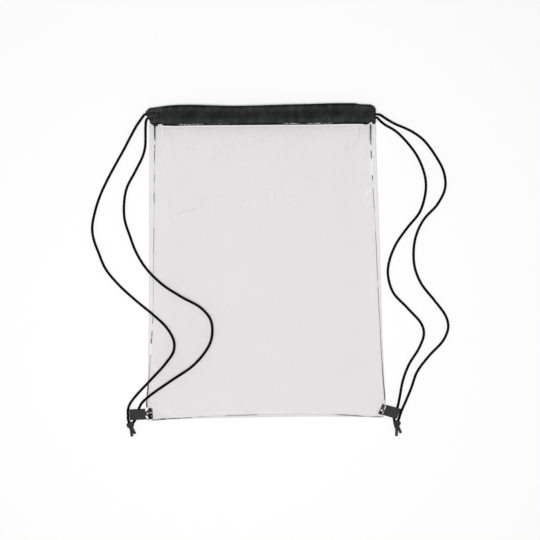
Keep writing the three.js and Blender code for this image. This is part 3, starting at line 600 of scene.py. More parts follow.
@dataclass(frozen=True)
class FilmFinish:
    """Clear soft vinyl: see-through with a grey cast, a gloss that wavers, and a little haze.

    The mesh's shade says how much of the cast is left out, as in the narrow bands outside the seams.
    """

    name: str = "clear_vinyl"
    tint: Colour = (0.9845, 0.9815, 0.983, 1.0)
    band_tint: Colour = (0.9885, 0.9865, 0.9875, 1.0)
    haze_low: float = 0.017
    haze_high: float = 0.025
    haze_level: float = 236.0
    gloss_low: float = 0.1
    gloss_high: float = 0.17
    facing_mirror: float = 0.034
    slant_power: float = 5.0
    wave_scale: float = 22.0
    relief: Pair = (0.12, 2.0)
    scuff_scale: float = 160.0

    def build(self) -> bpy.types.Material:
        """Builds the film's material."""
        finish = Finish(self.name)
        place = finish.place()
        waves = finish.noise(place, self.wave_scale, 2.0)
        normal = finish.relief(waves, *self.relief)
        scuffs = finish.noise(place, self.scuff_scale, 5.0)
        roughness = finish.spread(scuffs, 0.35, 0.7, self.gloss_low, self.gloss_high)
        cast = finish.blend(finish.shade(), self.tint, self.band_tint)
        clear = finish.add("ShaderNodeBsdfTransparent", Color=cast)
        gloss = finish.add("ShaderNodeBsdfGlossy", Color=WHITE, Roughness=roughness, Normal=normal)
        facing = finish.add("ShaderNodeLayerWeight", Normal=normal).outputs["Facing"]
        slant = finish.math("POWER", facing, self.slant_power)
        body = finish.mix_shaders(finish.spread(slant, 0.0, 1.0, self.facing_mirror), clear, gloss)
        cloud = finish.add("ShaderNodeBsdfDiffuse", Color=grey(self.haze_level))
        haze_share = finish.spread(scuffs, 0.3, 0.75, self.haze_low, self.haze_high)
        return finish.surface(finish.mix_shaders(haze_share, body, cloud))


@dataclass(frozen=True)
class CreaseFinish:
    """Milky, glossy and nearly opaque vinyl that paints highlights: along the film's creases, over the tabs
    and under the hem.
    """

    name: str = "painted_highlight_vinyl"
    level: float = 252.0
    grain_level: float = 240.0
    grain_scale: float = 420.0
    opacity: float = 0.94
    roughness: float = 0.3
    relief: Pair = (0.2, 0.3)

    def build(self) -> bpy.types.Material:
        """Builds the crease's material."""
        finish = Finish(self.name)
        grain = finish.noise(finish.place(), self.grain_scale)
        colour = finish.blend(grain, grey(self.level), grey(self.grain_level))
        normal = finish.relief(grain, *self.relief)
        return finish.skin(colour, normal, Roughness=self.roughness, Alpha=self.opacity)


@dataclass(frozen=True)
class SeamFinish:
    """A seam in clear film, whose light and dark run along it with its own shade; its near-white stretches
    are painted highlights.
    """

    name: str = "seam_film"
    grain_level: float = 200.0
    grain_scale: float = 900.0
    grain_share: float = 0.1
    opacity: float = 0.92
    roughness: float = 0.35
    relief: Pair = (0.3, 0.2)

    def build(self) -> bpy.types.Material:
        """Builds the seam's material."""
        finish = Finish(self.name)
        grain = finish.noise(finish.place(), self.grain_scale)
        share = finish.spread(grain, 0.35, 0.65, 0.0, self.grain_share)
        colour = finish.blend(share, finish.tone(), grey(self.grain_level))
        normal = finish.relief(grain, *self.relief)
        return finish.skin(colour, normal, Roughness=self.roughness, Alpha=self.opacity)


@dataclass(frozen=True)
class FabricFinish:
    """Black plain-woven polyester, with painted highlights on its wrinkles, painted shade at its rims and
    painted sheen.
    """

    name: str = "casing_weave"
    dark_level: float = 12.0
    light_level: float = 72.0
    warmth: float = -0.02
    thread_pitch: float = 0.00055
    blotch_scale: float = 55.0
    blotch_share: float = 0.24
    speck_scale: float = 700.0
    speck_share: float = 0.3
    even_out: float = 0.12
    groove_shade_share: float = 0.4
    crown: float = 0.6
    relief: Pair = (0.55, 0.12)
    roughness: float = 0.75
    specular: float = 0.12
    sheen: float = 0.1
    sheen_roughness: float = 0.5

    def build(self) -> bpy.types.Material:
        """Builds the fabric's material."""
        finish = Finish(self.name)
        place = finish.place()
        threads = [finish.math("MULTIPLY", part, 1.0 / self.thread_pitch) for part in finish.split(place)]
        weave = finish.interlace(*threads, self.crown)
        # Painted sheen: soft lighter blotches over the cloth
        painted_sheen = finish.spread(finish.noise(place, self.blotch_scale, 4.0), 0.4, 0.66, 0.0, self.blotch_share)
        fleck = finish.spread(finish.noise(place, self.speck_scale, 2.0), 0.5, 0.75, 0.0, self.speck_share)
        # The mesh's shade brings in the band's painted highlights and painted shade
        share = finish.math("ADD", finish.shade(), finish.math("ADD", painted_sheen, fleck))
        share = finish.math("SUBTRACT", share, self.even_out)
        cloth = finish.blend(share, grey(self.dark_level, self.warmth), grey(self.light_level, self.warmth))
        # Painted shade: darker in the hollows of the weave
        groove_shade = finish.spread(weave, 0.0, 0.5, self.groove_shade_share, 0.0)
        return finish.skin(
            finish.blend(groove_shade, cloth, grey(self.dark_level)),
            finish.relief(weave, *self.relief),
            Roughness=self.roughness,
            Specular_IOR_Level=self.specular,
            Sheen_Weight=self.sheen,
            Sheen_Roughness=self.sheen_roughness,
        )


@dataclass(frozen=True)
class RibbonFinish:
    """Black grosgrain ribbon, with ribs across its width."""

    name: str = "tab_ribbon"
    dark_level: float = 51.0
    light_level: float = 67.0
    groove_shade_level: float = 30.0
    groove_shade_share: float = 0.5
    rib_pitch: float = 0.0011
    grain_scale: float = 1.6
    dark_edge_start: float = 6.5
    dark_edge_end: float = 7.5
    dark_edge_share: float = 0.85
    dark_edge_level: float = 22.0
    crown: float = 0.35
    relief: Pair = (0.5, 0.2)
    roughness: float = 0.7
    specular: float = 0.15
    sheen: float = 0.1

    def build(self) -> bpy.types.Material:
        """Builds the ribbon's material."""
        finish = Finish(self.name)
        place = finish.place("UV")
        along, across = finish.split(place)
        ribs = finish.math("MULTIPLY", along, MILLIMETRE / self.rib_pitch)
        warp = finish.math("MULTIPLY", across, MILLIMETRE / (self.rib_pitch * 0.5))
        weave = finish.interlace(ribs, warp, self.crown)
        grain = finish.noise(place, self.grain_scale, 4.0)
        base = finish.blend(grain, grey(self.dark_level), grey(self.light_level))
        # Darker towards both edges of the ribbon
        from_middle = finish.math("ABSOLUTE", across)
        edge = finish.spread(from_middle, self.dark_edge_start, self.dark_edge_end, 0.0, self.dark_edge_share)
        base = finish.blend(edge, base, grey(self.dark_edge_level))
        # Painted shade: darker in the hollows between the ribs
        groove_shade = finish.spread(weave, 0.0, 0.45, self.groove_shade_share, 0.0)
        return finish.skin(
            finish.blend(groove_shade, base, grey(self.groove_shade_level)),
            finish.relief(weave, *self.relief),
            Roughness=self.roughness,
            Specular_IOR_Level=self.specular,
            Sheen_Weight=self.sheen,
        )


@dataclass(frozen=True)
class CordFinish:
    """Black braided cord, with its plaits crossing over and under round the cord."""

    name: str = "braided_cord"
    level: float = 11.0
    fibre_gain: float = 1.5
    fibre_scale: float = 3.0
    groove_shade_level: float = 3.0
    plaits: int = 6
    pitch: float = 0.0052
    crown: float = 0.5
    relief: Pair = (0.7, 0.25)
    roughness: float = 0.65
    specular: float = 0.1

    def build(self) -> bpy.types.Material:
        """Builds the cord's material."""
        finish = Finish(self.name)
        place = finish.place("UV")
        part_around, part_along = finish.split(place)
        around = finish.math("MULTIPLY", part_around, float(self.plaits))
        along = finish.math("MULTIPLY", part_along, self.plaits * MILLIMETRE / (2 * self.pitch))
        right_hand = finish.math("ADD", around, along)
        left_hand = finish.math("SUBTRACT", around, along)
        braid = finish.interlace(right_hand, left_hand, self.crown)
        fibres = finish.spread(finish.noise(place, self.fibre_scale, 5.0), 0.35, 0.7)
        lit = finish.blend(fibres, grey(self.level), grey(self.level * self.fibre_gain))
        # Painted shade: darker in the grooves between the plaits
        colour = finish.blend(finish.spread(braid, 0.0, 0.5, 1.0, 0.0), lit, grey(self.groove_shade_level))
        normal = finish.relief(braid, *self.relief)
        return finish.skin(colour, normal, Roughness=self.roughness, Specular_IOR_Level=self.specular)


@dataclass(frozen=True)
class ThreadFinish:
    """Sewing thread, twisted, with painted shade in its grooves and a light and dark that follow its
    stitch's own shade.
    """

    name: str = "sewing_thread"
    groove_shade_level: float = 24.0
    groove_shade_share: float = 0.3
    relief: Pair = (0.5, 0.1)
    roughness: float = 0.5
    specular: float = 0.2

    def build(self) -> bpy.types.Material:
        """Builds the thread's material."""
        finish = Finish(self.name)
        around, along = finish.split(finish.place("UV"))
        turns = finish.math("MULTIPLY", finish.math("ADD", along, around), 2.0 * math.pi)
        twist = finish.spread(finish.math("SINE", turns), -1.0, 1.0)
        # Painted shade: darker in the grooves of the twist
        groove_shade = finish.math("MULTIPLY", twist, self.groove_shade_share)
        colour = finish.blend(groove_shade, finish.tone(), grey(self.groove_shade_level))
        normal = finish.relief(twist, *self.relief)
        return finish.skin(colour, normal, Roughness=self.roughness, Specular_IOR_Level=self.specular)


@dataclass(frozen=True)
class FloorFinish:
    """A plain pale floor with a very faint grain."""

    name: str = "pale_floor"
    level: float = 250.0
    grain_level: float = 249.0
    grain_scale: float = 40.0
    roughness: float = 0.9
    specular: float = 0.1

    def build(self) -> bpy.types.Material:
        """Builds the floor's material."""
        finish = Finish(self.name)
        grain = finish.noise(finish.place(), self.grain_scale, 4.0)
        colour = finish.blend(grain, grey(self.level), grey(self.grain_level))
        shader = finish.add(
            "ShaderNodeBsdfPrincipled",
            Base_Color=colour,
            Roughness=self.roughness,
            Specular_IOR_Level=self.specular,
        )
        return finish.surface(shader)


@dataclass
class MeshData:
    """Points, faces and optional UV and shade of a mesh that is being built."""

    points: np.ndarray
    faces: list[tuple[int, ...]]
    uv: np.ndarray | None = None
    shade: np.ndarray | None = None

    @staticmethod
    def joined(parts: list["MeshData"]) -> "MeshData":
        """Joins several meshes into one.

        Args:
            parts: The meshes, which all have UV and shade or all lack them.

        Returns:
            The joined mesh.
        """
        faces = []
        start = 0
        for part in parts:
            faces.extend(tuple(i + start for i in face) for face in part.faces)
            start += len(part.points)
        uv = None if parts[0].uv is None else np.vstack([part.uv for part in parts])
        shade = None if parts[0].shade is None else np.concatenate([part.shade for part in parts])
        return MeshData(np.vstack([part.points for part in parts]), faces, uv, shade)

    def make(self, name: str, material: bpy.types.Material, crease_angle: float = 50.0) -> bpy.types.Object:
        """Makes a Blender object of the mesh.

        Args:
            name: The object's name.
            material: Its material.
            crease_angle: Edges that turn by more degrees than this stay sharp.

        Returns:
            The new object, linked to the scene.
        """
        mesh = bpy.data.meshes.new(name)
        mesh.from_pydata(self.points.tolist(), [], self.faces)
        mesh.materials.append(material)
        loops = np.empty(len(mesh.loops), dtype=np.int32)
        mesh.loops.foreach_get("vertex_index", loops)
        if self.uv is not None:
            layer = mesh.uv_layers.new(name="UVMap")
            layer.data.foreach_set("uv", self.uv[loops].astype(np.float32).ravel())
        if self.shade is not None:
            colours = mesh.color_attributes.new(SHADE, "FLOAT_COLOR", "POINT")
            flat = np.stack([self.shade] * 3 + [np.ones_like(self.shade)], axis=1)
            colours.data.foreach_set("color", flat.astype(np.float32).ravel())
        mesh.shade_smooth()
        mesh.set_sharp_from_angle(angle=math.radians(crease_angle))
        mesh.validate()
        made = bpy.data.objects.new(name, mesh)
        bpy.context.scene.collection.objects.link(made)
        return made


def shell(outer: np.ndarray, inner: np.ndarray) -> MeshData:
    """A closed sheet between two grids of points.

    Args:
        outer: Points of the face that looks out, as rows of columns.
        inner: Points of the other face, in the same order.

    Returns:
        The closed mesh.
    """
    rows, columns = outer.shape[:2]
    count = rows * columns
    index = np.arange(count).reshape(rows, columns)
    corners = [index[:-1, :-1], index[:-1, 1:], index[1:, 1:], index[1:, :-1]]
    quads = np.stack(corners, axis=-1).reshape(-1, 4).tolist()
    faces = [tuple(quad) for quad in quads]
    faces += [(count + a, count + d, count + c, count + b) for a, b, c, d in quads]
    rim = list(index[0, :-1]) + list(index[:-1, -1]) + list(index[-1, :0:-1]) + list(index[:0:-1, 0])
    for k, a in enumerate(rim):
        b = rim[(k + 1) % len(rim)]
        faces.append((int(a), int(a) + count, int(b) + count, int(b)))
    points = np.vstack([outer.reshape(-1, 3), inner.reshape(-1, 3)])
    return MeshData(points, faces)


def tube(
    path: np.ndarray,
    radius: np.ndarray | float,
    sides: int = 10,
    shade: float | np.ndarray = 0.5,
    flatten: float = 1.0,
) -> MeshData:
    """A closed tube along a path, with UV round it and along it in millimetres.

    Args:
        path: Points of its middle line.
        radius: Its radius, one number or one for each point.
        sides: Number of sides.
        shade: Shade, one number or one for each point.
        flatten: Its height as a share of its width.

    Returns:
        The tube, closed at both ends.
    """
    count = len(path)
    radii = np.broadcast_to(np.asarray(radius, dtype=float), (count,))
    shades = np.broadcast_to(np.asarray(shade, dtype=float), (count,))
    ahead = np.gradient(path, axis=0)
    ahead /= np.maximum(np.linalg.norm(ahead, axis=1, keepdims=True), 1e-12)
    side = np.cross(ahead, np.array([0.0, 0.0, 1.0]))
    weak = np.linalg.norm(side, axis=1) < 1e-3
    side[weak] = np.cross(ahead[weak], np.array([1.0, 0.0, 0.0]))
    side /= np.linalg.norm(side, axis=1, keepdims=True)
    for i in range(1, count):
        if np.dot(side[i], side[i - 1]) < 0:
            side[i] = -side[i]
    up = np.cross(side, ahead)
    angles = np.arange(sides + 1) * 2 * np.pi / sides
    ring = (
        side[:, None, :] * np.cos(angles)[None, :, None]
        + up[:, None, :] * np.sin(angles)[None, :, None] * flatten
    )
    rings = path[:, None, :] + ring * radii[:, None, None]
    distance = travelled(path)
    across = sides + 1
    points = rings.reshape(-1, 3)
    around = np.tile(np.arange(across) / sides, count)
    uv = np.stack([around, np.repeat(distance / MILLIMETRE, across)], axis=1)
    tone = np.repeat(shades, across)
    faces = []
    for i in range(count - 1):
        for j in range(sides):
            a = i * across + j
            faces.append((a, a + 1, a + 1 + across, a + across))
    caps = []
    for i in (0, count - 1):
        middle = len(points) + len(caps)
        caps.append(path[i])
        for j in range(sides):
            a = i * across + j
            faces.append((middle, a + 1, a) if i == 0 else (middle, a, a + 1))
    points = np.vstack([points, np.array(caps)])
    uv = np.vstack([uv, [[0.5, 0.0], [0.5, distance[-1] / MILLIMETRE]]])
    tone = np.concatenate([tone, shades[[0, -1]]])
    return MeshData(points, faces, uv, tone)


def smooth_route(points: np.ndarray, step: float) -> np.ndarray:
    """A smooth centripetal spline through points, in even steps.

    Args:
        points: The points that it passes through.
        step: The step's length.

    Returns:
        Points of the spline.
    """
    ends = np.vstack([2 * points[0] - points[1], points, 2 * points[-1] - points[-2]])
    dense = []
    for i in range(1, len(ends) - 2):
        p0, p1, p2, p3 = ends[i - 1 : i + 3]
        t0 = 0.0
        t1 = t0 + np.linalg.norm(p1 - p0) ** 0.5
        t2 = t1 + np.linalg.norm(p2 - p1) ** 0.5
        t3 = t2 + np.linalg.norm(p3 - p2) ** 0.5
        t = np.linspace(t1, t2, SPLINE_STEPS, endpoint=False)[:, None]
        a1 = (t1 - t) / (t1 - t0) * p0 + (t - t0) / (t1 - t0) * p1
        a2 = (t2 - t) / (t2 - t1) * p1 + (t - t1) / (t2 - t1) * p2
        a3 = (t3 - t) / (t3 - t2) * p2 + (t - t2) / (t3 - t2) * p3
        b1 = (t2 - t) / (t2 - t0) * a1 + (t - t0) / (t2 - t0) * a2
        b2 = (t3 - t) / (t3 - t1) * a2 + (t - t1) / (t3 - t1) * a3
        dense.append((t2 - t) / (t2 - t1) * b1 + (t - t1) / (t2 - t1) * b2)
    dense.append(points[-1:])
    line = np.vstack(dense)
    distance = travelled(line)
    count = max(2, int(round(distance[-1] / step)))
    even = np.linspace(0.0, distance[-1], count + 1)
    return points_at(even, distance, line)


@dataclass(frozen=True)
class BagShape:
    """Named sizes of the lying bag, in metres, and the surfaces that follow from them."""

    width: float = 0.336
    length: float = 0.426
    bottom: float = -0.226
    wall: float = 0.001
    gap: float = 0.0003
    open_height: float = 0.007
    side_rise: float = 0.046
    foot_rise: float = 0.070
    throat: float = 0.062
    hem_lead: float = 0.004
    bow: float = 0.005
    allowance: float = 0.0074
    gather_depth: float = 0.0013
    gather_width: float = 0.0065
    casing_wall: float = 0.001
    casing_width: float = 0.031
    casing_left: float = -0.1737
    casing_right: float = 0.1613
    casing_turn: float = 0.0016
    hem_width: float = 0.005
    hem_rise: float = 0.003
    tuck_in: float = 0.0044
    mouth_open: float = 0.0052
    mouth_rise: float = 0.120
    cord: float = 0.0032
    cord_clear: float = 0.0003
    tab_width: float = 0.0155
    tab_wall: float = 0.001
    film: float = 0.0005
    pucker_height: float = 0.00022
    pucker_pitch: float = 0.0088
    pucker_lean: float = 40.0
    pucker_in: float = 0.006
    pucker_reach: float = 0.007
    foot_pucker_in: float = 0.007
    foot_pucker_reach: float = 0.008
    foot_pitch_share: float = 1.7
    press_allowances: float = 3.0
    pressed_films: float = 1.7
    back_films: float = 0.6
    crease_fade: float = 0.3
    sway: float = 0.0004

    @property
    def tunnel(self) -> float:
        """Height of a casing's tunnel."""
        return self.cord + 2 * self.cord_clear

    @property
    def casing_thick(self) -> float:
        """Thickness of a casing over its tunnel."""
        return self.tunnel + 2 * self.casing_wall

    @property
    def back_middle(self) -> float:
        """Height of the back casing's middle plane."""
        return self.casing_thick / 2

    @property
    def casing_low(self) -> float:
        """Where the casing's lower edge lies along the bag."""
        return self.bottom + self.length

    @property
    def panel_rest(self) -> float:
        """Height of the front panel's solid where it is pressed down."""
        return self.wall + self.gap

    @property
    def tab_stack(self) -> float:
        """Extra height of the front panel over a tucked tab."""
        return 2 * (self.tab_wall + self.gap)

    def side_edge(self, y: np.ndarray, side: Side) -> np.ndarray:
        """Where a side edge of the pouch lies at y."""
        return SIDE_ROWS.read("up", (y - self.bottom) / self.length, side.value) * self.width / 2

    def seam_line(self, y: np.ndarray, side: Side) -> np.ndarray:
        """Where a side seam lies at y."""
        inset = SIDE_ROWS.read("up", (y - self.bottom) / self.length, f"{side.value}_seam") * self.allowance
        return self.side_edge(y, side) + (inset if side is Side.LEFT else -inset)

    def inside_seams(self, x: np.ndarray, y: np.ndarray) -> np.ndarray:
        """How far x lies inside the nearer side seam at y."""
        return np.minimum(x - self.seam_line(y, Side.LEFT), self.seam_line(y, Side.RIGHT) - x)

    def bottom_edge(self, x: np.ndarray) -> np.ndarray:
        """Where the bottom edge lies at x."""
        return self.bottom + BOTTOM_ROWS.read("across", 2 * x / self.width, "lift") * self.bow

    def casing_shift(self, x: np.ndarray) -> np.ndarray:
        """How far the casing is shifted along the bag at x, because the band turns a little."""
        share = (x - self.casing_left) / (self.casing_right - self.casing_left)
        return self.casing_turn * (share - 0.5)

    def mouth_gap(self, x: np.ndarray) -> np.ndarray:
        """Gap between the two casings at x."""
        from_end = np.minimum(x - self.casing_left, self.casing_right - x)
        return self.gap + self.mouth_open * ease(from_end / self.mouth_rise)

    def front_middle(self, x: np.ndarray) -> np.ndarray:
        """Height of the front casing's middle plane at x."""
        return self.back_middle + self.casing_thick + self.mouth_gap(x)

    def middle_plane(self, x: np.ndarray, layer: Layer) -> np.ndarray:
        """Height of a casing's middle plane at x."""
        if layer is Layer.FRONT:
            return self.front_middle(x)
        return np.full_like(np.asarray(x, dtype=float), self.back_middle)

    def throat_share(self, x: np.ndarray, y: np.ndarray, length: float) -> np.ndarray:
        """How far up its throat the film is, from 0 in the body to 1 at the casing."""
        top = self.casing_low + self.casing_shift(x) - self.hem_lead
        return ease((y - (top - length)) / length)

    def gathers(self, x: np.ndarray, y: np.ndarray) -> np.ndarray:
        """Height of the film's gathers below the casing."""
        below = self.casing_low - y
        height = np.zeros(np.broadcast(x, y).shape)
        for across, depth, reach in GATHER_ROWS.rows:
            fade = ease(below / self.gather_width) * ease(1 - below / (reach * self.throat))
            height += depth * self.gather_depth * hump(x - across * self.width / 2, self.gather_width) * fade
        return height

    def over_tab(self, x: np.ndarray, y: np.ndarray) -> np.ndarray:
        """Extra height of the front panel where a tab is tucked under it."""
        height = np.zeros(np.broadcast(x, y).shape)
        for shape in (TAB_LEFT, TAB_RIGHT):
            middle_x, middle_y = self.tucked_middle(shape)
            along = (np.abs(x - middle_x) - shape.tuck) / self.side_rise
            across = (np.abs(y - middle_y) - self.tab_width) / (2 * self.tab_width)
            height += self.tab_stack * ease(1 - along) * ease(1 - across)
        return height

    def tab_place(self, tab: "TabShape") -> tuple[float, float]:
        """x and y of the middle of a tab's outer end."""
        y = self.bottom + tab.up
        outwards = -1.0 if tab.side is Side.LEFT else 1.0
        return float(self.side_edge(y, tab.side)) + outwards * tab.out, y

    def tucked_middle(self, tab: "TabShape") -> tuple[float, float]:
        """x and y of the middle of the stretch of a tab that is tucked into the pouch."""
        x, y = self.tab_place(tab)
        back = tab.reach + tab.tuck / 2
        heading = math.radians(tab.turn)
        return x - back * math.cos(heading), y - back * math.sin(heading)

    def creases(self, x: np.ndarray, y: np.ndarray) -> np.ndarray:
        """Height of the film's creases."""
        height = np.zeros(np.broadcast(x, y).shape)
        for x0, y0, x1, y1, width, tall in CREASE_ROWS.rows:
            reach = math.hypot(x1 - x0, y1 - y0)
            ahead = ((x - x0) * (x1 - x0) + (y - y0) * (y1 - y0)) / reach**2
            aside = ((x - x0) * (y1 - y0) - (y - y0) * (x1 - x0)) / reach
            fade = ease(ahead / self.crease_fade + 0.5) * ease((1 - ahead) / self.crease_fade + 0.5)
            height += tall * hump(aside, width) * fade
        return height

    def front_film(self, x: np.ndarray, y: np.ndarray) -> np.ndarray:
        """Height of the front film's middle surface."""
        from_seam = self.inside_seams(x, y)
        from_bottom = y - self.bottom_edge(x)
        throat = self.throat_share(x, y, self.throat)
        inner = ease(from_seam / self.side_rise) * ease(from_bottom / self.foot_rise)
        body = self.open_height * inner
        climb = throat * (self.front_middle(x) - self.wall / 2 - self.panel_rest)
        tab_lift = self.over_tab(x, y)
        solid = self.panel_rest + body * (1 - throat) + climb + self.gathers(x, y) + tab_lift + self.wall / 2
        edge = np.minimum(from_seam, from_bottom)
        pressed = 1 - ease(edge / (self.press_allowances * self.allowance))
        pressed = pressed * (1 - tab_lift / self.tab_stack) * (1 - throat)
        drop = (self.panel_rest + self.wall / 2 - self.pressed_films * self.film) * pressed
        puckers = self.pucker_height * np.sin(2 * np.pi * y / self.pucker_pitch + self.pucker_lean * x)
        puckers = puckers * hump(from_seam - self.pucker_in, self.pucker_reach) * (1 - throat)
        foot = self.pucker_height * np.sin(2 * np.pi * x / (self.foot_pitch_share * self.pucker_pitch))
        foot = foot * hump(from_bottom - self.foot_pucker_in, self.foot_pucker_reach)
        waves = [share * np.sin(by_x * x + by_y * y + start) for share, by_x, by_y, start in SWAY_ROWS.rows]
        sway = self.sway * sum(waves) * inner * (1 - throat)
        return solid - drop + puckers + foot + sway + self.creases(x, y)

    def back_film(self, x: np.ndarray, y: np.ndarray) -> np.ndarray:
        """Height of the back film's middle surface."""
        share = self.throat_share(x, y, self.throat / 2)
        return mix(self.back_films * self.film, self.back_middle, share)

    def film_grid(self, columns: np.ndarray, rows: np.ndarray) -> tuple[np.ndarray, np.ndarray]:
        """Places of a film's grid.

        Args:
            columns: Places across: -1 and 2 are the side edges, 0 and 1 the seams.
            rows: Places along, from 0 at the bottom edge to 1 at the top.

        Returns:
            The grid's x and y.
        """
        u, v = np.meshgrid(columns, rows)
        top = self.casing_low + self.tuck_in
        rough = mix(self.bottom, top, v)
        left, right = self.side_edge(rough, Side.LEFT), self.side_edge(rough, Side.RIGHT)
        seam_left, seam_right = self.seam_line(rough, Side.LEFT), self.seam_line(rough, Side.RIGHT)
        x = mix(seam_left, seam_right, u)
        x = np.where(u < 0, seam_left + (seam_left - left) * u, x)
        x = np.where(u > 1, seam_right + (right - seam_right) * (u - 1), x)
        y = mix(self.bottom_edge(x), top + self.casing_shift(x), v)
        return x, y


@dataclass(frozen=True)
class TabShape:
    """Place of one corner tab: out from the side edge and up from the bottom, heading and lengths."""

    node: str
    side: Side
    out: float
    up: float
    turn: float
    lean: float
    tuck: float
    reach: float


TAB_LEFT = TabShape("tab_left", Side.LEFT, 0.0261, 0.0032, 182.3, 0.0, 0.010, 0.024)
TAB_RIGHT = TabShape("tab_right", Side.RIGHT, 0.0220, 0.0045, -15.5, 8.5, 0.009, 0.0194)


@dataclass
class Pouch:
    """The see-through pouch: two films, their seams and stitches, and the creases of the front."""

    shape: BagShape
    front_columns: int = 150
    front_rows: int = 190
    back_columns: int = 40
    back_rows: int = 60
    seam_width: float = 0.0006
    stitch: float = 0.0033
    stitch_pitch: float = 0.0042
    thread: float = 0.00022
    bead: float = 0.0004
    band_fade: float = 0.0012
    hem_highlight_width: float = 0.0009
    hem_highlight_gap: float = 0.0003
    hem_highlight_steps: int = 160
    band_steps: int = 4
    column_even: float = 0.6
    row_crowding: float = 0.35
    path_step: float = 0.0008
    seam_lift: float = 0.0001
    seam_flatten: float = 0.35
    light_flatten: float = 0.2
    stitch_sink: float = 1.2
    stitch_rise: float = 2.2
    shade_stray: Pair = (0.9, 1.1)
    darkest_stitch: float = 0.1
    fold_step: float = 0.0025
    fold_top: float = 0.001
    fold_left: float = 0.0015
    fold_right: float = 0.001
    leaf_steps: tuple[int, int] = (15, 5)
    leaf_fullness: float = 0.8
    leaf_point: float = 0.06
    leaf_bend: float = 0.12
    leaf_crown: float = 0.00015
    leaf_under: float = 0.00006
    crease_lift: float = 0.00008
    glint_lift: float = 0.0009
    tack_shade: float = 0.12
    tack_pitch: float = 0.0006
    tack_thread: float = 0.00036
    tack_points: int = 5
    tack_stray: Pair = (0.8, 1.0)
    hem_highlight_ends: Pair = (0.06, 0.95)

    def film_piece(
        self, layer: Layer, columns: int, rows: int, material: bpy.types.Material
    ) -> bpy.types.Object:
        """Builds one film as a thin closed sheet.

        Args:
            layer: Front or back.
            columns: Steps from seam to seam.
            rows: Steps from the bottom edge to the top.
            material: The film's material.

        Returns:
            The film's object.
        """
        crowded = (1 - np.cos(np.linspace(0, np.pi, columns + 1))) / 2
        inner = mix(crowded, np.linspace(0, 1, columns + 1), self.column_even)
        left_band = np.linspace(-1, 0, self.band_steps, endpoint=False)
        right_band = np.linspace(2, 1, self.band_steps, endpoint=False)[::-1]
        across = np.concatenate([left_band, inner, right_band])
        even = np.linspace(0, 1, rows + 1)
        along = mix(even, (1 - np.cos(np.pi * even)) / 2, self.row_crowding)
        x, y = self.shape.film_grid(across, along)
        z = self.shape.front_film(x, y) if layer is Layer.FRONT else self.shape.back_film(x, y)
        middle = np.stack([x, y, z], axis=-1)
        half = np.array([0.0, 0.0, self.shape.film / 2])
        data = shell(middle + half, middle - half)
        band = ease(0.5 - self.shape.inside_seams(x, y) / self.band_fade).ravel()
        data.shade = np.concatenate([band, band])
        return data.make(f"{layer.value}_film", material)

    def on_film(self, x: np.ndarray, y: np.ndarray, lift: float) -> np.ndarray:
        """Points that lie on the front film's upper face, raised by lift."""
        z = self.shape.front_film(x, y) + self.shape.film / 2 + lift
        return np.stack([x, y, z], axis=-1)

    def seam_paths(self) -> list[tuple[Table, np.ndarray, np.ndarray, np.ndarray]]:
        """The three seams as table, key values, x and y along each."""
        paths = []
        for side, rows in ((Side.LEFT, LEFT_SEAM_ROWS), (Side.RIGHT, RIGHT_SEAM_ROWS)):
            y = np.arange(rows.rows[0][0], rows.rows[-1][0], self.path_step)
            paths.append((rows, y, self.shape.seam_line(y, side), y))
        x = np.arange(BOTTOM_SEAM_ROWS.rows[0][0], BOTTOM_SEAM_ROWS.rows[-1][0], self.path_step)
        y = self.shape.bottom_edge(x) + BOTTOM_SEAM_ROWS.read("at", x, "inset")
        paths.append((BOTTOM_SEAM_ROWS, x, x, y))
        return paths

    def seam_lines(self, material: bpy.types.Material) -> bpy.types.Object:
        """Builds the raised line of each seam, whose shade and width change along it, with painted
        highlights in its near-white stretches.
        """
        parts = []
        for rows, key, x, y in self.seam_paths():
            shade = rows.read("at", key, "shade")
            width = rows.read("at", key, "width") * self.seam_width
            path = self.on_film(x, y, self.seam_lift)
            parts.append(tube(path, width, LINE_SIDES, shade, flatten=self.seam_flatten))
        return MeshData.joined(parts).make("seam_lines", material)

    def stitches(self, material: bpy.types.Material) -> bpy.types.Object:
        """Builds the stitches along the seams as one mesh of short threads."""
        rng = np.random.default_rng(7)
        parts = []
        for rows, key, x, y in self.seam_paths():
            distance = np.concatenate([[0.0], np.cumsum(np.hypot(np.diff(x), np.diff(y)))])
            for start in np.arange(self.stitch_pitch, distance[-1] - self.stitch_pitch, self.stitch_pitch):
                at = start + np.linspace(0, self.stitch, STITCH_POINTS)
                px, py = np.interp(at, distance, x), np.interp(at, distance, y)
                sink = self.thread * (self.stitch_sink - self.stitch_rise * STITCH_ARCH)
                path = self.on_film(px, py, 0.0)
                path[:, 2] -= sink - self.thread
                # A stitch takes the seam's shade, with its painted highlights
                shade = float(rows.read("at", np.interp(start, distance, key), "shade"))
                shade = min(1.0, max(self.darkest_stitch, shade * rng.uniform(*self.shade_stray)))
                parts.append(tube(path, self.thread, THREAD_SIDES, shade))
        return MeshData.joined(parts).make("seam_stitches", material)

    def hem_highlight(self, material: bpy.types.Material) -> bpy.types.Object:
        """Builds the painted highlight: a thin white line on the film just under the casing's hem."""
        shape = self.shape
        along = np.linspace(self.hem_highlight_ends[0], self.hem_highlight_ends[1], self.hem_highlight_steps)
        x = mix(shape.casing_left, shape.casing_right, along)
        low = CASING_ROWS.read("along", along, "low") * shape.casing_width
        y = shape.casing_low + shape.casing_shift(x) + low - self.hem_highlight_width - self.hem_highlight_gap
        path = self.on_film(x, y, self.seam_lift)
        line = tube(path, self.hem_highlight_width, LINE_SIDES, flatten=self.light_flatten)
        return line.make("hem_highlight", material)

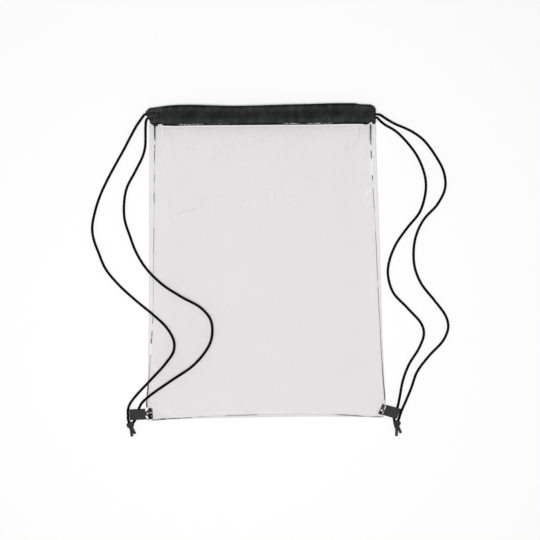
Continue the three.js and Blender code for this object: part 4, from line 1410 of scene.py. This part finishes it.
    def edge_fold(self, material: bpy.types.Material) -> bpy.types.Object:
        """Builds the rounded fold of film along the sides and the bottom."""
        y = np.arange(self.shape.casing_low - self.fold_top, self.shape.bottom, -self.fold_step)
        left = np.stack([self.shape.side_edge(y, Side.LEFT), y], axis=1)
        right = np.stack([self.shape.side_edge(y, Side.RIGHT), y], axis=1)[::-1]
        x = np.arange(left[-1, 0] + self.fold_left, right[0, 0] - self.fold_right, self.fold_step)
        foot = np.stack([x, self.shape.bottom_edge(x)], axis=1)
        line = np.vstack([left, foot, right])
        x, y = line.T
        z = (self.shape.front_film(x, y) + self.shape.back_film(x, y)) / 2
        path = np.column_stack([line, np.maximum(z, self.bead)])
        return tube(path, self.bead, LINE_SIDES).make("edge_fold", material)

    def leaf(self, start: np.ndarray, end: np.ndarray, width: float, lift: float) -> MeshData:
        """A thin leaf of film on the front, wide in the middle and pointed at both ends.

        Args:
            start: x and y of one end.
            end: x and y of the other end.
            width: Its greatest width.
            lift: Its height over the film.

        Returns:
            The leaf as a closed sheet.
        """
        ahead = (end - start) / np.linalg.norm(end - start)
        aside = np.array([-ahead[1], ahead[0]])
        t = np.linspace(0, 1, self.leaf_steps[0])
        s = np.linspace(-0.5, 0.5, self.leaf_steps[1])
        grid_t, grid_s = np.meshgrid(t, s, indexing="ij")
        breadth = width * mix(self.leaf_point, 1.0, np.sin(np.pi * grid_t) ** self.leaf_fullness)
        bend = self.leaf_bend * width * np.sin(2 * np.pi * grid_t)
        x = start[0] + (end[0] - start[0]) * grid_t + aside[0] * (breadth * grid_s + bend)
        y = start[1] + (end[1] - start[1]) * grid_t + aside[1] * (breadth * grid_s + bend)
        top = self.on_film(x, y, lift)
        top[..., 2] += (1 - (2 * grid_s) ** 2) * self.leaf_crown
        low = self.on_film(x, y, lift - self.leaf_under)
        return shell(np.swapaxes(top, 0, 1), np.swapaxes(low, 0, 1))

    def crease_marks(self, material: bpy.types.Material) -> bpy.types.Object:
        """Builds the painted highlights along the creases and the painted glints over the tabs as one mesh.
        """
        parts = []
        for x0, y0, x1, y1, width, _ in CREASE_ROWS.rows:
            parts.append(self.leaf(np.array([x0, y0]), np.array([x1, y1]), width, self.crease_lift))
        for x, y, length, width, turn in GLINT_ROWS.rows:
            middle = np.array([x, y])
            half = np.array([math.cos(math.radians(turn)), math.sin(math.radians(turn))]) * length / 2
            parts.append(self.leaf(middle - half, middle + half, width, self.glint_lift))
        return MeshData.joined(parts).make("crease_marks", material)

    def tacks(self, material: bpy.types.Material) -> bpy.types.Object:
        """Builds the dense zigzag stitching over the tucked ends of the tabs as one mesh."""
        rng = np.random.default_rng(5)
        parts = []
        for x, y, length, breadth, turn in TACK_ROWS.rows:
            count = int(breadth / self.tack_pitch)
            side = np.linspace(-0.5, 0.5, count) * breadth
            swing = np.where(np.arange(count) % 2 == 0, -0.5, 0.5) * length
            ahead = swing * rng.uniform(*self.tack_stray, count)
            corners = np.stack([ahead, side], axis=1)
            cosine, sine = math.cos(math.radians(turn)), math.sin(math.radians(turn))
            spin = np.array([[cosine, sine], [-sine, cosine]])
            even = np.linspace(0, count - 1, count * self.tack_points)
            line = points_at(even, np.arange(count), corners)
            line = line @ spin + np.array([x, y])
            path = self.on_film(line[:, 0], line[:, 1], self.tack_thread * 0.5)
            parts.append(tube(path, self.tack_thread, THREAD_SIDES, self.tack_shade))
        return MeshData.joined(parts).make("tab_tacks", material)

    def build(self) -> list[bpy.types.Object]:
        """Builds and declares every piece of the pouch."""
        film = FilmFinish().build()
        front = self.film_piece(Layer.FRONT, self.front_columns, self.front_rows, film)
        back = self.film_piece(Layer.BACK, self.back_columns, self.back_rows, film)
        declare(front, "front_panel")
        declare(back, "back_panel")
        # One milky material paints the highlights of the creases, the glints over the tabs and the line
        # under the hem
        painted_highlight = CreaseFinish().build()
        creases = self.crease_marks(painted_highlight)
        hem_highlight = self.hem_highlight(painted_highlight)
        lines = self.seam_lines(SeamFinish().build())
        thread = ThreadFinish().build()
        stitches = self.stitches(thread)
        tacks = self.tacks(thread)
        fold = self.edge_fold(FilmFinish(name="folded_vinyl", tint=(0.965, 0.963, 0.964, 1.0)).build())
        trims = [creases, hem_highlight, lines, stitches, tacks, fold]
        for piece in trims:
            declare(piece)
        return [front, back, *trims]


@dataclass
class Casing:
    """One casing: a band of fabric folded over the film's top, with its hem stitched down."""

    shape: BagShape
    layer: Layer
    steps_along: int = 260
    steps_hem: int = 10
    steps_flat: int = 18
    steps_fold: int = 10
    pleat_height: float = 0.0015
    pleat_reach: float = 0.030
    pleats: int = 3
    wrinkle_height: float = 0.00055
    wrinkle_width: float = 0.0045
    stitch: float = 0.0024
    stitch_pitch: float = 0.0031
    thread: float = 0.00044
    hem_stitch_in: float = 0.0017
    stitch_stray: float = 0.0003
    stitch_start: float = 0.004
    stitch_end: float = 0.006
    pucker_height: float = 0.00012
    pucker_place: Pair = (0.12, 0.1)
    sag: float = 0.0005
    sag_place: Pair = (0.5, 0.22)
    stitch_sink: float = 0.7
    stitch_rise: float = 1.4
    plain_shade: Pair = (0.05, 0.15)
    glint_stray: Pair = (0.5, 1.5)
    crowding: float = 0.5
    fade_low: float = 0.25
    fade_high: float = 0.12
    under_share: float = 0.25
    # Painted light and shade of the band: a base tone, painted highlights on the wrinkles' ridges and near
    # the fold, a lighter band towards the hem, and painted shade at the top rim, the lower edge and the ends
    tone_base: float = 0.255
    fold_highlight: float = 0.15
    ridge_highlight: float = 0.34
    hem_paling: float = 0.2
    rim_shade: float = 0.6
    rim_width: float = 0.0026
    low_place: Pair = (0.2, 0.13)
    high_place: Pair = (0.78, 0.1)
    rim_high: Pair = (0.88, 0.09)
    rim_low: float = 0.05

    def half_section(self, width: np.ndarray) -> tuple[np.ndarray, np.ndarray]:
        """Half of the section, from the hem's edge to the fold.

        Args:
            width: The band's width at each station.

        Returns:
            How far in from the lower edge, and how far from the middle plane, for each station and step.
        """
        shape = self.shape
        hem_half = shape.wall / 2 + shape.gap + shape.casing_wall / 2
        tunnel_half = (shape.tunnel + shape.casing_wall) / 2
        flat_end = width[:, None] - shape.casing_wall / 2 - tunnel_half
        rise_end = shape.hem_width + shape.hem_rise
        hem = np.linspace(0, rise_end, self.steps_hem, endpoint=False)[None, :] + 0 * flat_end
        flat_share = np.linspace(0, 1, self.steps_flat, endpoint=False)[None, :]
        flat = rise_end + (flat_end - rise_end) * flat_share
        angle = np.linspace(0, np.pi / 2, self.steps_fold + 1)[None, :]
        fold = flat_end + tunnel_half * np.sin(angle)
        inward = np.concatenate([hem, flat, fold], axis=1)
        level = hem_half + (tunnel_half - hem_half) * ease((inward - shape.hem_width) / shape.hem_rise)
        round_fold = tunnel_half * np.cos(angle) + 0 * flat_end
        height = np.concatenate([level[:, : self.steps_hem + self.steps_flat], round_fold], axis=1)
        return inward, height

    def drape(self, x: np.ndarray, across: np.ndarray) -> np.ndarray:
        """Height of pleats, wrinkles and puckers at x and a share across the band."""
        shape = self.shape
        fade = ease(1 - (x - shape.casing_left) / self.pleat_reach)
        waves = (1 - np.cos(2 * np.pi * self.pleats * across)) / 2
        height = self.pleat_height * fade * ease(across * self.pleats) * waves
        inner = ease(across / self.fade_low) * ease((1 - across) / self.fade_high)
        for middle, tall, wide, slant in WRINKLE_ROWS.rows:
            offset = x - middle - slant * (across - 0.5)
            height += self.wrinkle_height * tall * hump(offset, wide * self.wrinkle_width) * inner
        middle, reach = self.pucker_place
        puckers = np.sin(2 * np.pi * x / (2 * self.stitch_pitch)) * hump(across - middle, reach)
        middle, reach = self.sag_place
        return height + self.pucker_height * puckers - self.sag * hump(across - middle, reach)

    def walls(self) -> tuple[np.ndarray, np.ndarray, np.ndarray]:
        """Middle points of the wall, its outward directions and its painted shading and tone: lighter on the
        wrinkles' ridges, near the fold and towards the hem, darker at its rims.
        """
        shape = self.shape
        even = np.linspace(0, 1, self.steps_along + 1)
        along = mix(even, (1 - np.cos(np.pi * even)) / 2, self.crowding)
        low = CASING_ROWS.read("along", along, "low") * shape.casing_width
        high = CASING_ROWS.read("along", along, "high") * shape.casing_width
        inward, height = self.half_section(high - low)
        inward = np.concatenate([inward, inward[:, -2::-1]], axis=1)
        upper = np.concatenate([-height, height[:, -2::-1]], axis=1)
        across = inward / (high - low)[:, None]
        is_upper = np.arange(inward.shape[1])[None, :] > inward.shape[1] // 2
        is_cover = is_upper & (self.layer is Layer.FRONT)
        ends = {}
        for side in ("left", "right"):
            inset = CASING_END_ROWS.read("across", across, f"{side}_inset")
            cover = CASING_END_ROWS.read("across", across, f"{side}_cover")
            ends[side] = np.where(is_cover, cover, inset) * shape.casing_width
        x = mix(shape.casing_left + ends["left"], shape.casing_right - ends["right"], along[:, None])
        y = shape.casing_low + shape.casing_shift(x) + low[:, None] + inward
        z = shape.middle_plane(x, self.layer) + upper
        relief = self.drape(x, across)
        to_end = np.minimum(x - x.min(axis=0), x.max(axis=0) - x)
        # Painted shading: lighter on raised wrinkles and near the fold, lighter towards the hem, darker at
        # the top rim, the lower edge and the ends
        shading_and_tone = self.tone_base + self.ridge_highlight * np.clip(relief / self.wrinkle_height, 0.0, 1.0)
        for amount, (middle, reach) in ((self.hem_paling, self.low_place), (self.fold_highlight, self.high_place)):
            shading_and_tone = shading_and_tone + amount * hump(across - middle, reach)
        top_rim = (across - self.rim_high[0]) / self.rim_high[1]
        for rim in (top_rim, 1 - across / self.rim_low, 1 - to_end / self.rim_width):
            shading_and_tone = shading_and_tone - self.rim_shade * ease(rim)
        shading_and_tone = np.clip(shading_and_tone, 0.0, 1.0)
        outer, under = (relief, self.under_share * relief)
        if self.layer is Layer.BACK:
            outer, under = (under, 0.0)
        z = z + np.where(is_upper, outer, under)
        points = np.stack([x, y, z], axis=-1)
        turn = np.gradient(points, axis=1)
        outward = np.stack([np.zeros_like(x), turn[..., 2], -turn[..., 1]], axis=-1)
        outward /= np.maximum(np.linalg.norm(outward, axis=-1, keepdims=True), 1e-9)
        return points, outward, shading_and_tone

    def band(self, material: bpy.types.Material) -> bpy.types.Object:
        """Builds the folded band."""
        points, outward, shading_and_tone = self.walls()
        half = self.shape.casing_wall / 2
        data = shell(points + outward * half, points - outward * half)
        # The band's shade carries its painted shading and tone
        data.shade = np.tile(shading_and_tone.ravel(), 2)
        return data.make(f"casing_{self.layer.value}_fabric", material)

    def hem_stitches(self, material: bpy.types.Material) -> bpy.types.Object:
        """Builds the row of stitches along the hem as one mesh of short threads."""
        rng = np.random.default_rng(11 if self.layer is Layer.FRONT else 12)
        points, outward, _ = self.walls()
        last = points.shape[1] - 1
        inward = np.abs(points[:, :, 1] - points[:, last : last + 1, 1])
        from_row = np.abs(inward[self.steps_along // 2, last // 2 :] - self.hem_stitch_in)
        step = int(np.argmin(from_row)) + last // 2
        if self.layer is Layer.BACK:
            step = last - step
        line = points[:, step] + outward[:, step] * (self.shape.casing_wall / 2)
        distance = travelled(line)
        lift = np.array([0.0, 0.0, 1.0 if self.layer is Layer.FRONT else -1.0])
        parts = []
        for start in np.arange(self.stitch_start, distance[-1] - self.stitch_end, self.stitch_pitch):
            at = start + np.linspace(0, self.stitch, STITCH_POINTS)
            arch = self.stitch_rise * STITCH_ARCH[:, None] - self.stitch_sink
            path = points_at(at, distance, line) + lift * self.thread * arch
            path[:, 1] += rng.uniform(-self.stitch_stray, self.stitch_stray)
            path[:, 2] = np.maximum(path[:, 2], self.thread)
            # Painted glints: the stitch's shade is raised where the hem's table glints
            glint = float(HEM_GLINT_ROWS.read("x", path[3, 0], "glint"))
            plain = rng.uniform(*self.plain_shade)
            shade = min(1.0, plain + glint * rng.uniform(*self.glint_stray))
            parts.append(tube(path, self.thread, THREAD_SIDES, shade))
        return MeshData.joined(parts).make(f"casing_{self.layer.value}_stitches", material)

    def build(self) -> list[bpy.types.Object]:
        band = self.band(FabricFinish(name=f"casing_weave_{self.layer.value}").build())
        stitches = self.hem_stitches(ThreadFinish(name=f"hem_thread_{self.layer.value}").build())
        declare(band, f"casing_{self.layer.value}")
        declare(stitches)
        return [band, stitches]


@dataclass
class Drawcords:
    """The two cords: a run of each inside the casings and its two free strands."""

    shape: BagShape
    sides: int = 12
    step: float = 0.0016
    ramp_start: float = 0.010
    ramp_end: float = 0.004
    bed_top: float = 0.060
    floor_clear: float = 0.00005
    tuck: float = 0.004
    braid_radius: float = 0.0019
    loosen: float = 0.012
    lane_reach: float = 0.060
    run_steps: int = 120
    turn_steps: int = 12

    def bed(self, x: np.ndarray, y: np.ndarray) -> np.ndarray:
        """Height of what a strand lies on: the floor, or the front film with a ramp at its left edge."""
        inside = x - self.shape.side_edge(y, Side.LEFT)
        film_x = np.maximum(x, self.shape.seam_line(y, Side.LEFT))
        top = self.shape.front_film(film_x, y) + self.shape.film / 2
        ramp = ease((inside + self.ramp_start) / (self.ramp_start - self.ramp_end))
        return np.where((x < 0) & (y < self.bed_top), top * ramp, 0.0)

    def strand_path(self, route: CordRoute) -> np.ndarray:
        """Points of a strand's middle line, a little longer at both ends than its route."""
        plan = np.array(route.points)
        first = plan[0] + (plan[0] - plan[1]) / np.linalg.norm(plan[0] - plan[1]) * self.tuck
        last = plan[-1] + (plan[-1] - plan[-2]) / np.linalg.norm(plan[-1] - plan[-2]) * self.tuck / 2
        path = smooth_route(np.vstack([first, plan, last]), self.step)
        path[:, 2] += self.bed(path[:, 0], path[:, 1]) + self.shape.cord / 2 + self.floor_clear
        return path

    def strand(self, route: CordRoute, material: bpy.types.Material) -> bpy.types.Object:
        """Builds and declares one free strand."""
        path = self.strand_path(route)
        radius = mix(self.shape.cord / 2, self.braid_radius, ease(travelled(path) / self.loosen))
        path[:, 2] += radius - self.shape.cord / 2
        piece = tube(path, radius, self.sides).make(f"{route.node}_braid", material)
        declare(piece, route.node)
        return piece

    def lane_path(
        self, start: Place, run: CordRun, height: Callable[[np.ndarray], np.ndarray]
    ) -> np.ndarray:
        """Points of a run from one exit to its turn: over to its lane, along it, and over to the turn.

        Args:
            start: x and y of the exit.
            run: The run.
            height: Gives the height of the cord's middle at x.

        Returns:
            The points.
        """
        x = np.linspace(start[0], run.turn[0], self.run_steps)
        from_exit = ease(np.abs(x - start[0]) / self.lane_reach)
        from_turn = ease(np.abs(x - run.turn[0]) / self.lane_reach)
        y = run.lane + (start[1] - run.lane) * (1 - from_exit) + (run.turn[1] - run.lane) * (1 - from_turn)
        return np.stack([x, y, height(x)], axis=1)

    def run(self, run: CordRun, material: bpy.types.Material) -> bpy.types.Object:
        """Builds the stretch of a cord inside the casings: out in the front one, round, and back."""
        shape = self.shape
        out = self.lane_path(run.front_exit, run, shape.front_middle)
        back = self.lane_path(run.back_exit, run, lambda x: np.full_like(x, shape.back_middle))
        high, low = out[-1, 2], back[-1, 2]
        angle = np.pi * np.arange(1, self.turn_steps) / self.turn_steps
        outwards = math.copysign((high - low) / 2, run.turn[0] - run.front_exit[0])
        bend_x = run.turn[0] + outwards * np.sin(angle)
        bend_z = (high + low) / 2 + (high - low) / 2 * np.cos(angle)
        bend = np.stack([bend_x, np.full_like(angle, run.turn[1]), bend_z], axis=1)
        path = np.vstack([out, bend, back[::-1]])
        piece = tube(path, shape.cord / 2, self.sides).make(f"{run.node}_braid", material)
        return declare(piece, run.node)

    def build(self) -> list[bpy.types.Object]:
        """Builds the four strands and the two runs."""
        braid = CordFinish().build()
        strands = [self.strand(route, braid) for route in (LEFT_OUTER, LEFT_INNER, RIGHT_OUTER, RIGHT_INNER)]
        runs = [self.run(run, braid) for run in (LEFT_RUN, RIGHT_RUN)]
        return strands + runs


@dataclass
class CornerTab:
    """A ribbon loop at a bottom corner, with its two ends tucked under the film."""

    shape: BagShape
    tab: TabShape
    ramp: float = 0.0045
    steps_across: int = 14
    steps_round: int = 15
    line_step: float = 0.0006
    rounding_passes: int = 6
    edge_thinning: float = 0.25
    edge_power: int = 8

    def middle_line(self) -> np.ndarray:
        """The ribbon's line from one tucked end round the loop to the other, as along and up."""
        shape, tab = self.shape, self.tab
        high = shape.tunnel + 2 * shape.tab_wall
        bend = high / 2
        half = shape.tab_wall / 2
        low = shape.panel_rest
        arc = [
            (-bend + (bend - half) * math.sin(t), bend - (bend - half) * math.cos(t))
            for t in np.linspace(0, math.pi, self.steps_round)
        ]
        stations = (-tab.reach - tab.tuck, -tab.reach, -tab.reach + self.ramp)
        start = list(zip(stations, (low + half, low + half, half)))
        end = list(zip(stations[::-1], (high - half, low + 3 * half, low + 3 * half)))
        corners = np.array(start + arc + end)
        dense = [corners[:1]]
        for a, b in zip(corners[:-1], corners[1:]):
            count = max(1, int(np.linalg.norm(b - a) / self.line_step))
            dense.append(a + (b - a) * (np.arange(1, count + 1) / count)[:, None])
        line = np.vstack(dense)
        for _ in range(self.rounding_passes):
            line[1:-1] = (line[:-2] + 2 * line[1:-1] + line[2:]) / 4
        return line

    def build(self, material: bpy.types.Material) -> bpy.types.Object:
        line = self.middle_line()
        ahead = np.gradient(line, axis=0)
        ahead /= np.linalg.norm(ahead, axis=1, keepdims=True)
        normal = np.stack([ahead[:, 1], -ahead[:, 0]], axis=1)
        across = np.linspace(-0.5, 0.5, self.steps_across + 1)
        thinned = self.edge_thinning * np.abs(2 * across) ** self.edge_power
        half = self.shape.tab_wall / 2 * (1 - thinned)
        skew = math.tan(math.radians(self.tab.lean))
        turn = Matrix.Rotation(math.radians(self.tab.turn), 3, "Z")
        place = Vector((*self.shape.tab_place(self.tab), 0.0))
        faces = []
        for sign in (1.0, -1.0):
            flat = line[None, :, :] + sign * normal[None, :, :] * half[:, None, None]
            side = across[:, None] * self.shape.tab_width + 0 * flat[..., 0]
            local = np.stack([flat[..., 0] + skew * side, side, flat[..., 1]], axis=-1)
            faces.append(local @ np.array(turn).T + np.array(place))
        data = shell(faces[0], faces[1])
        grid_uv = np.stack(
            [
                np.tile(travelled(line) / MILLIMETRE, self.steps_across + 1),
                np.repeat(across * self.shape.tab_width / MILLIMETRE, len(line)),
            ],
            axis=1,
        )
        data.uv = np.vstack([grid_uv, grid_uv])
        piece = data.make(f"{self.tab.node}_ribbon", material)
        return declare(piece, self.tab.node)


@dataclass
class CornerKnot:
    """The knot below a tab: the two strands tied together, with their two cut tails."""

    shape: BagShape
    node: str
    x: float
    y: float
    tails: tuple[Place, ...]
    turn: float
    width: float = 0.0118
    length: float = 0.0136
    height: float = 0.0086
    sides: int = 12
    core_radius: float = 0.0038
    core_steps: int = 12
    core_shift: float = 0.0002
    core_top: float = 0.42
    core_foot: float = 0.3
    core_height: float = 0.46
    core_taper: Pair = (0.12, 0.76)
    turn_steps: int = 96
    swell: float = 1.22
    tail_swell: float = 1.3
    tail_taper: Pair = (0.97, 0.82)
    tail_step: float = 0.0008
    floor_clear: float = 0.00005

    def turns(self) -> MeshData:
        """The knot's body, one length of cord wound over and under itself three times."""
        t = np.linspace(0, 2 * np.pi, self.turn_steps + 1)
        radius = self.shape.cord / 2 * self.swell
        wound = np.stack(
            [
                (np.sin(t) + 2 * np.sin(2 * t)) / 3,
                (np.cos(t) - 2 * np.cos(2 * t)) / 3,
                -np.sin(3 * t),
            ],
            axis=1,
        )
        half = np.array([self.width / 2 - radius, self.length / 2 - radius, self.height / 2 - radius])
        body = wound * half
        heading = np.array(Matrix.Rotation(math.radians(self.turn), 3, "Z"))
        body = body @ heading.T + np.array([self.x, self.y, self.height / 2])
        return tube(body, radius, self.sides)

    def core(self) -> MeshData:
        """The filled middle of the knot, under its turns."""
        top = np.array([self.x - self.core_shift, self.y + self.length * self.core_top])
        foot = np.array([self.x, self.y - self.length * self.core_foot])
        share = np.linspace(0, 1, self.core_steps)
        level = np.full_like(share, self.height * self.core_height)
        path = np.column_stack([mix(top, foot, share[:, None]), level])
        taper = np.sin(np.pi * (self.core_taper[0] + self.core_taper[1] * share))
        return tube(path, self.core_radius * taper, self.sides)

    def tail(self, end: Place) -> MeshData:
        """One tail, from inside the knot to its cut end on the floor."""
        radius = self.shape.cord / 2 * self.tail_swell
        start = np.array([self.x, self.y, self.height / 2])
        tip = np.array([end[0], end[1], radius + self.floor_clear])
        middle = (start + tip) / 2
        middle[2] = self.height / 3
        path = smooth_route(np.vstack([start, middle, tip]), self.tail_step)
        radii = np.full(len(path), radius)
        radii[-2:] *= self.tail_taper
        return tube(path, radii, self.sides)

    def build(self, material: bpy.types.Material) -> bpy.types.Object:
        """Builds the knot and its tails as one piece."""
        parts = [self.turns(), self.core(), *(self.tail(end) for end in self.tails)]
        piece = MeshData.joined(parts).make(f"{self.node}_braid", material)
        return declare(piece, self.node)


@dataclass
class Studio:
    """The pale floor, the soft light and the camera, which looks straight down."""

    view_x: float = 0.0075
    view_y: float = -0.0116
    view_width: float = 0.7884
    view_height: float = 3.2
    floor_side: float = 12.0
    sensor: float = 0.036
    far: float = 50.0
    clear_layers: int = 24
    surround: float = 0.17
    panel_size: float = 0.9
    panel_power: float = 98.2
    panel_place: tuple[float, float, float] = (-0.1, -0.15, 3.3)

    def camera(self) -> bpy.types.Object:
        """Makes the camera straight over the bag."""
        data = bpy.data.cameras.new("camera")
        data.sensor_width = self.sensor / MILLIMETRE
        data.lens = self.sensor * self.view_height / self.view_width / MILLIMETRE
        data.clip_end = self.far
        made = bpy.data.objects.new("camera", data)
        made.location = (self.view_x, self.view_y, self.view_height)
        bpy.context.scene.collection.objects.link(made)
        bpy.context.scene.camera = made
        return made

    def floor(self) -> bpy.types.Object:
        """Makes the floor."""
        half = self.floor_side / 2
        corners = np.array([[-half, -half, 0.0], [half, -half, 0.0], [half, half, 0.0], [-half, half, 0.0]])
        made = MeshData(corners, [(0, 1, 2, 3)]).make("floor", FloorFinish().build())
        return made

    def light(self) -> None:
        """Makes the soft white surround and one wide panel beside the camera, which isn't mirrored."""
        world = bpy.data.worlds.new("surround")
        world.use_nodes = True
        background = world.node_tree.nodes["Background"]
        background.inputs["Color"].default_value = WHITE
        background.inputs["Strength"].default_value = self.surround
        bpy.context.scene.world = world
        data = bpy.data.lights.new("panel", "AREA")
        data.shape = "SQUARE"
        data.size = self.panel_size
        data.energy = self.panel_power
        panel = bpy.data.objects.new("panel", data)
        panel.location = self.panel_place
        panel.visible_glossy = False
        panel.rotation_euler = (Vector((0, 0, 0)) - panel.location).to_track_quat("-Z", "Y").to_euler()
        bpy.context.scene.collection.objects.link(panel)

    def build(self) -> None:
        """Sets up the whole stage."""
        self.camera()
        self.floor()
        self.light()
        scene = bpy.context.scene
        scene.view_settings.view_transform = "Standard"
        scene.view_settings.look = "None"
        scene.cycles.transparent_max_bounces = self.clear_layers
        scene.cycles.use_denoising = True


def main() -> None:
    """Builds the backpack's classes in order and reports each piece."""
    logging.basicConfig(level=logging.INFO, format="%(name)s %(message)s")
    shape = BagShape()
    Studio().build()
    ribbon = RibbonFinish().build()
    # The knots use a lighter copy of the cord's braid: painted light on the knots' rounded turns
    lit_knot_braid = CordFinish(name="lit_knot_braid", level=50.0, groove_shade_level=18.0).build()
    knots = [
        CornerKnot(shape, "knot_left", -0.1958, -0.2387, ((-0.1939, -0.2544), (-0.1894, -0.2506)), 15.0),
        CornerKnot(shape, "knot_right", 0.1924, -0.2364, ((0.192, -0.2538), (0.1984, -0.2494)), -10.0),
    ]
    pieces = [knot.build(lit_knot_braid) for knot in knots]
    pieces += Drawcords(shape).build()
    pieces += Pouch(shape).build()
    for layer in Layer:
        pieces += Casing(shape, layer).build()
    pieces += [CornerTab(shape, tab).build(ribbon) for tab in (TAB_LEFT, TAB_RIGHT)]
    for piece in pieces:
        LOG.info("%s: %d faces", piece.name, len(piece.data.polygons))


if __name__ == "__main__":
    main()
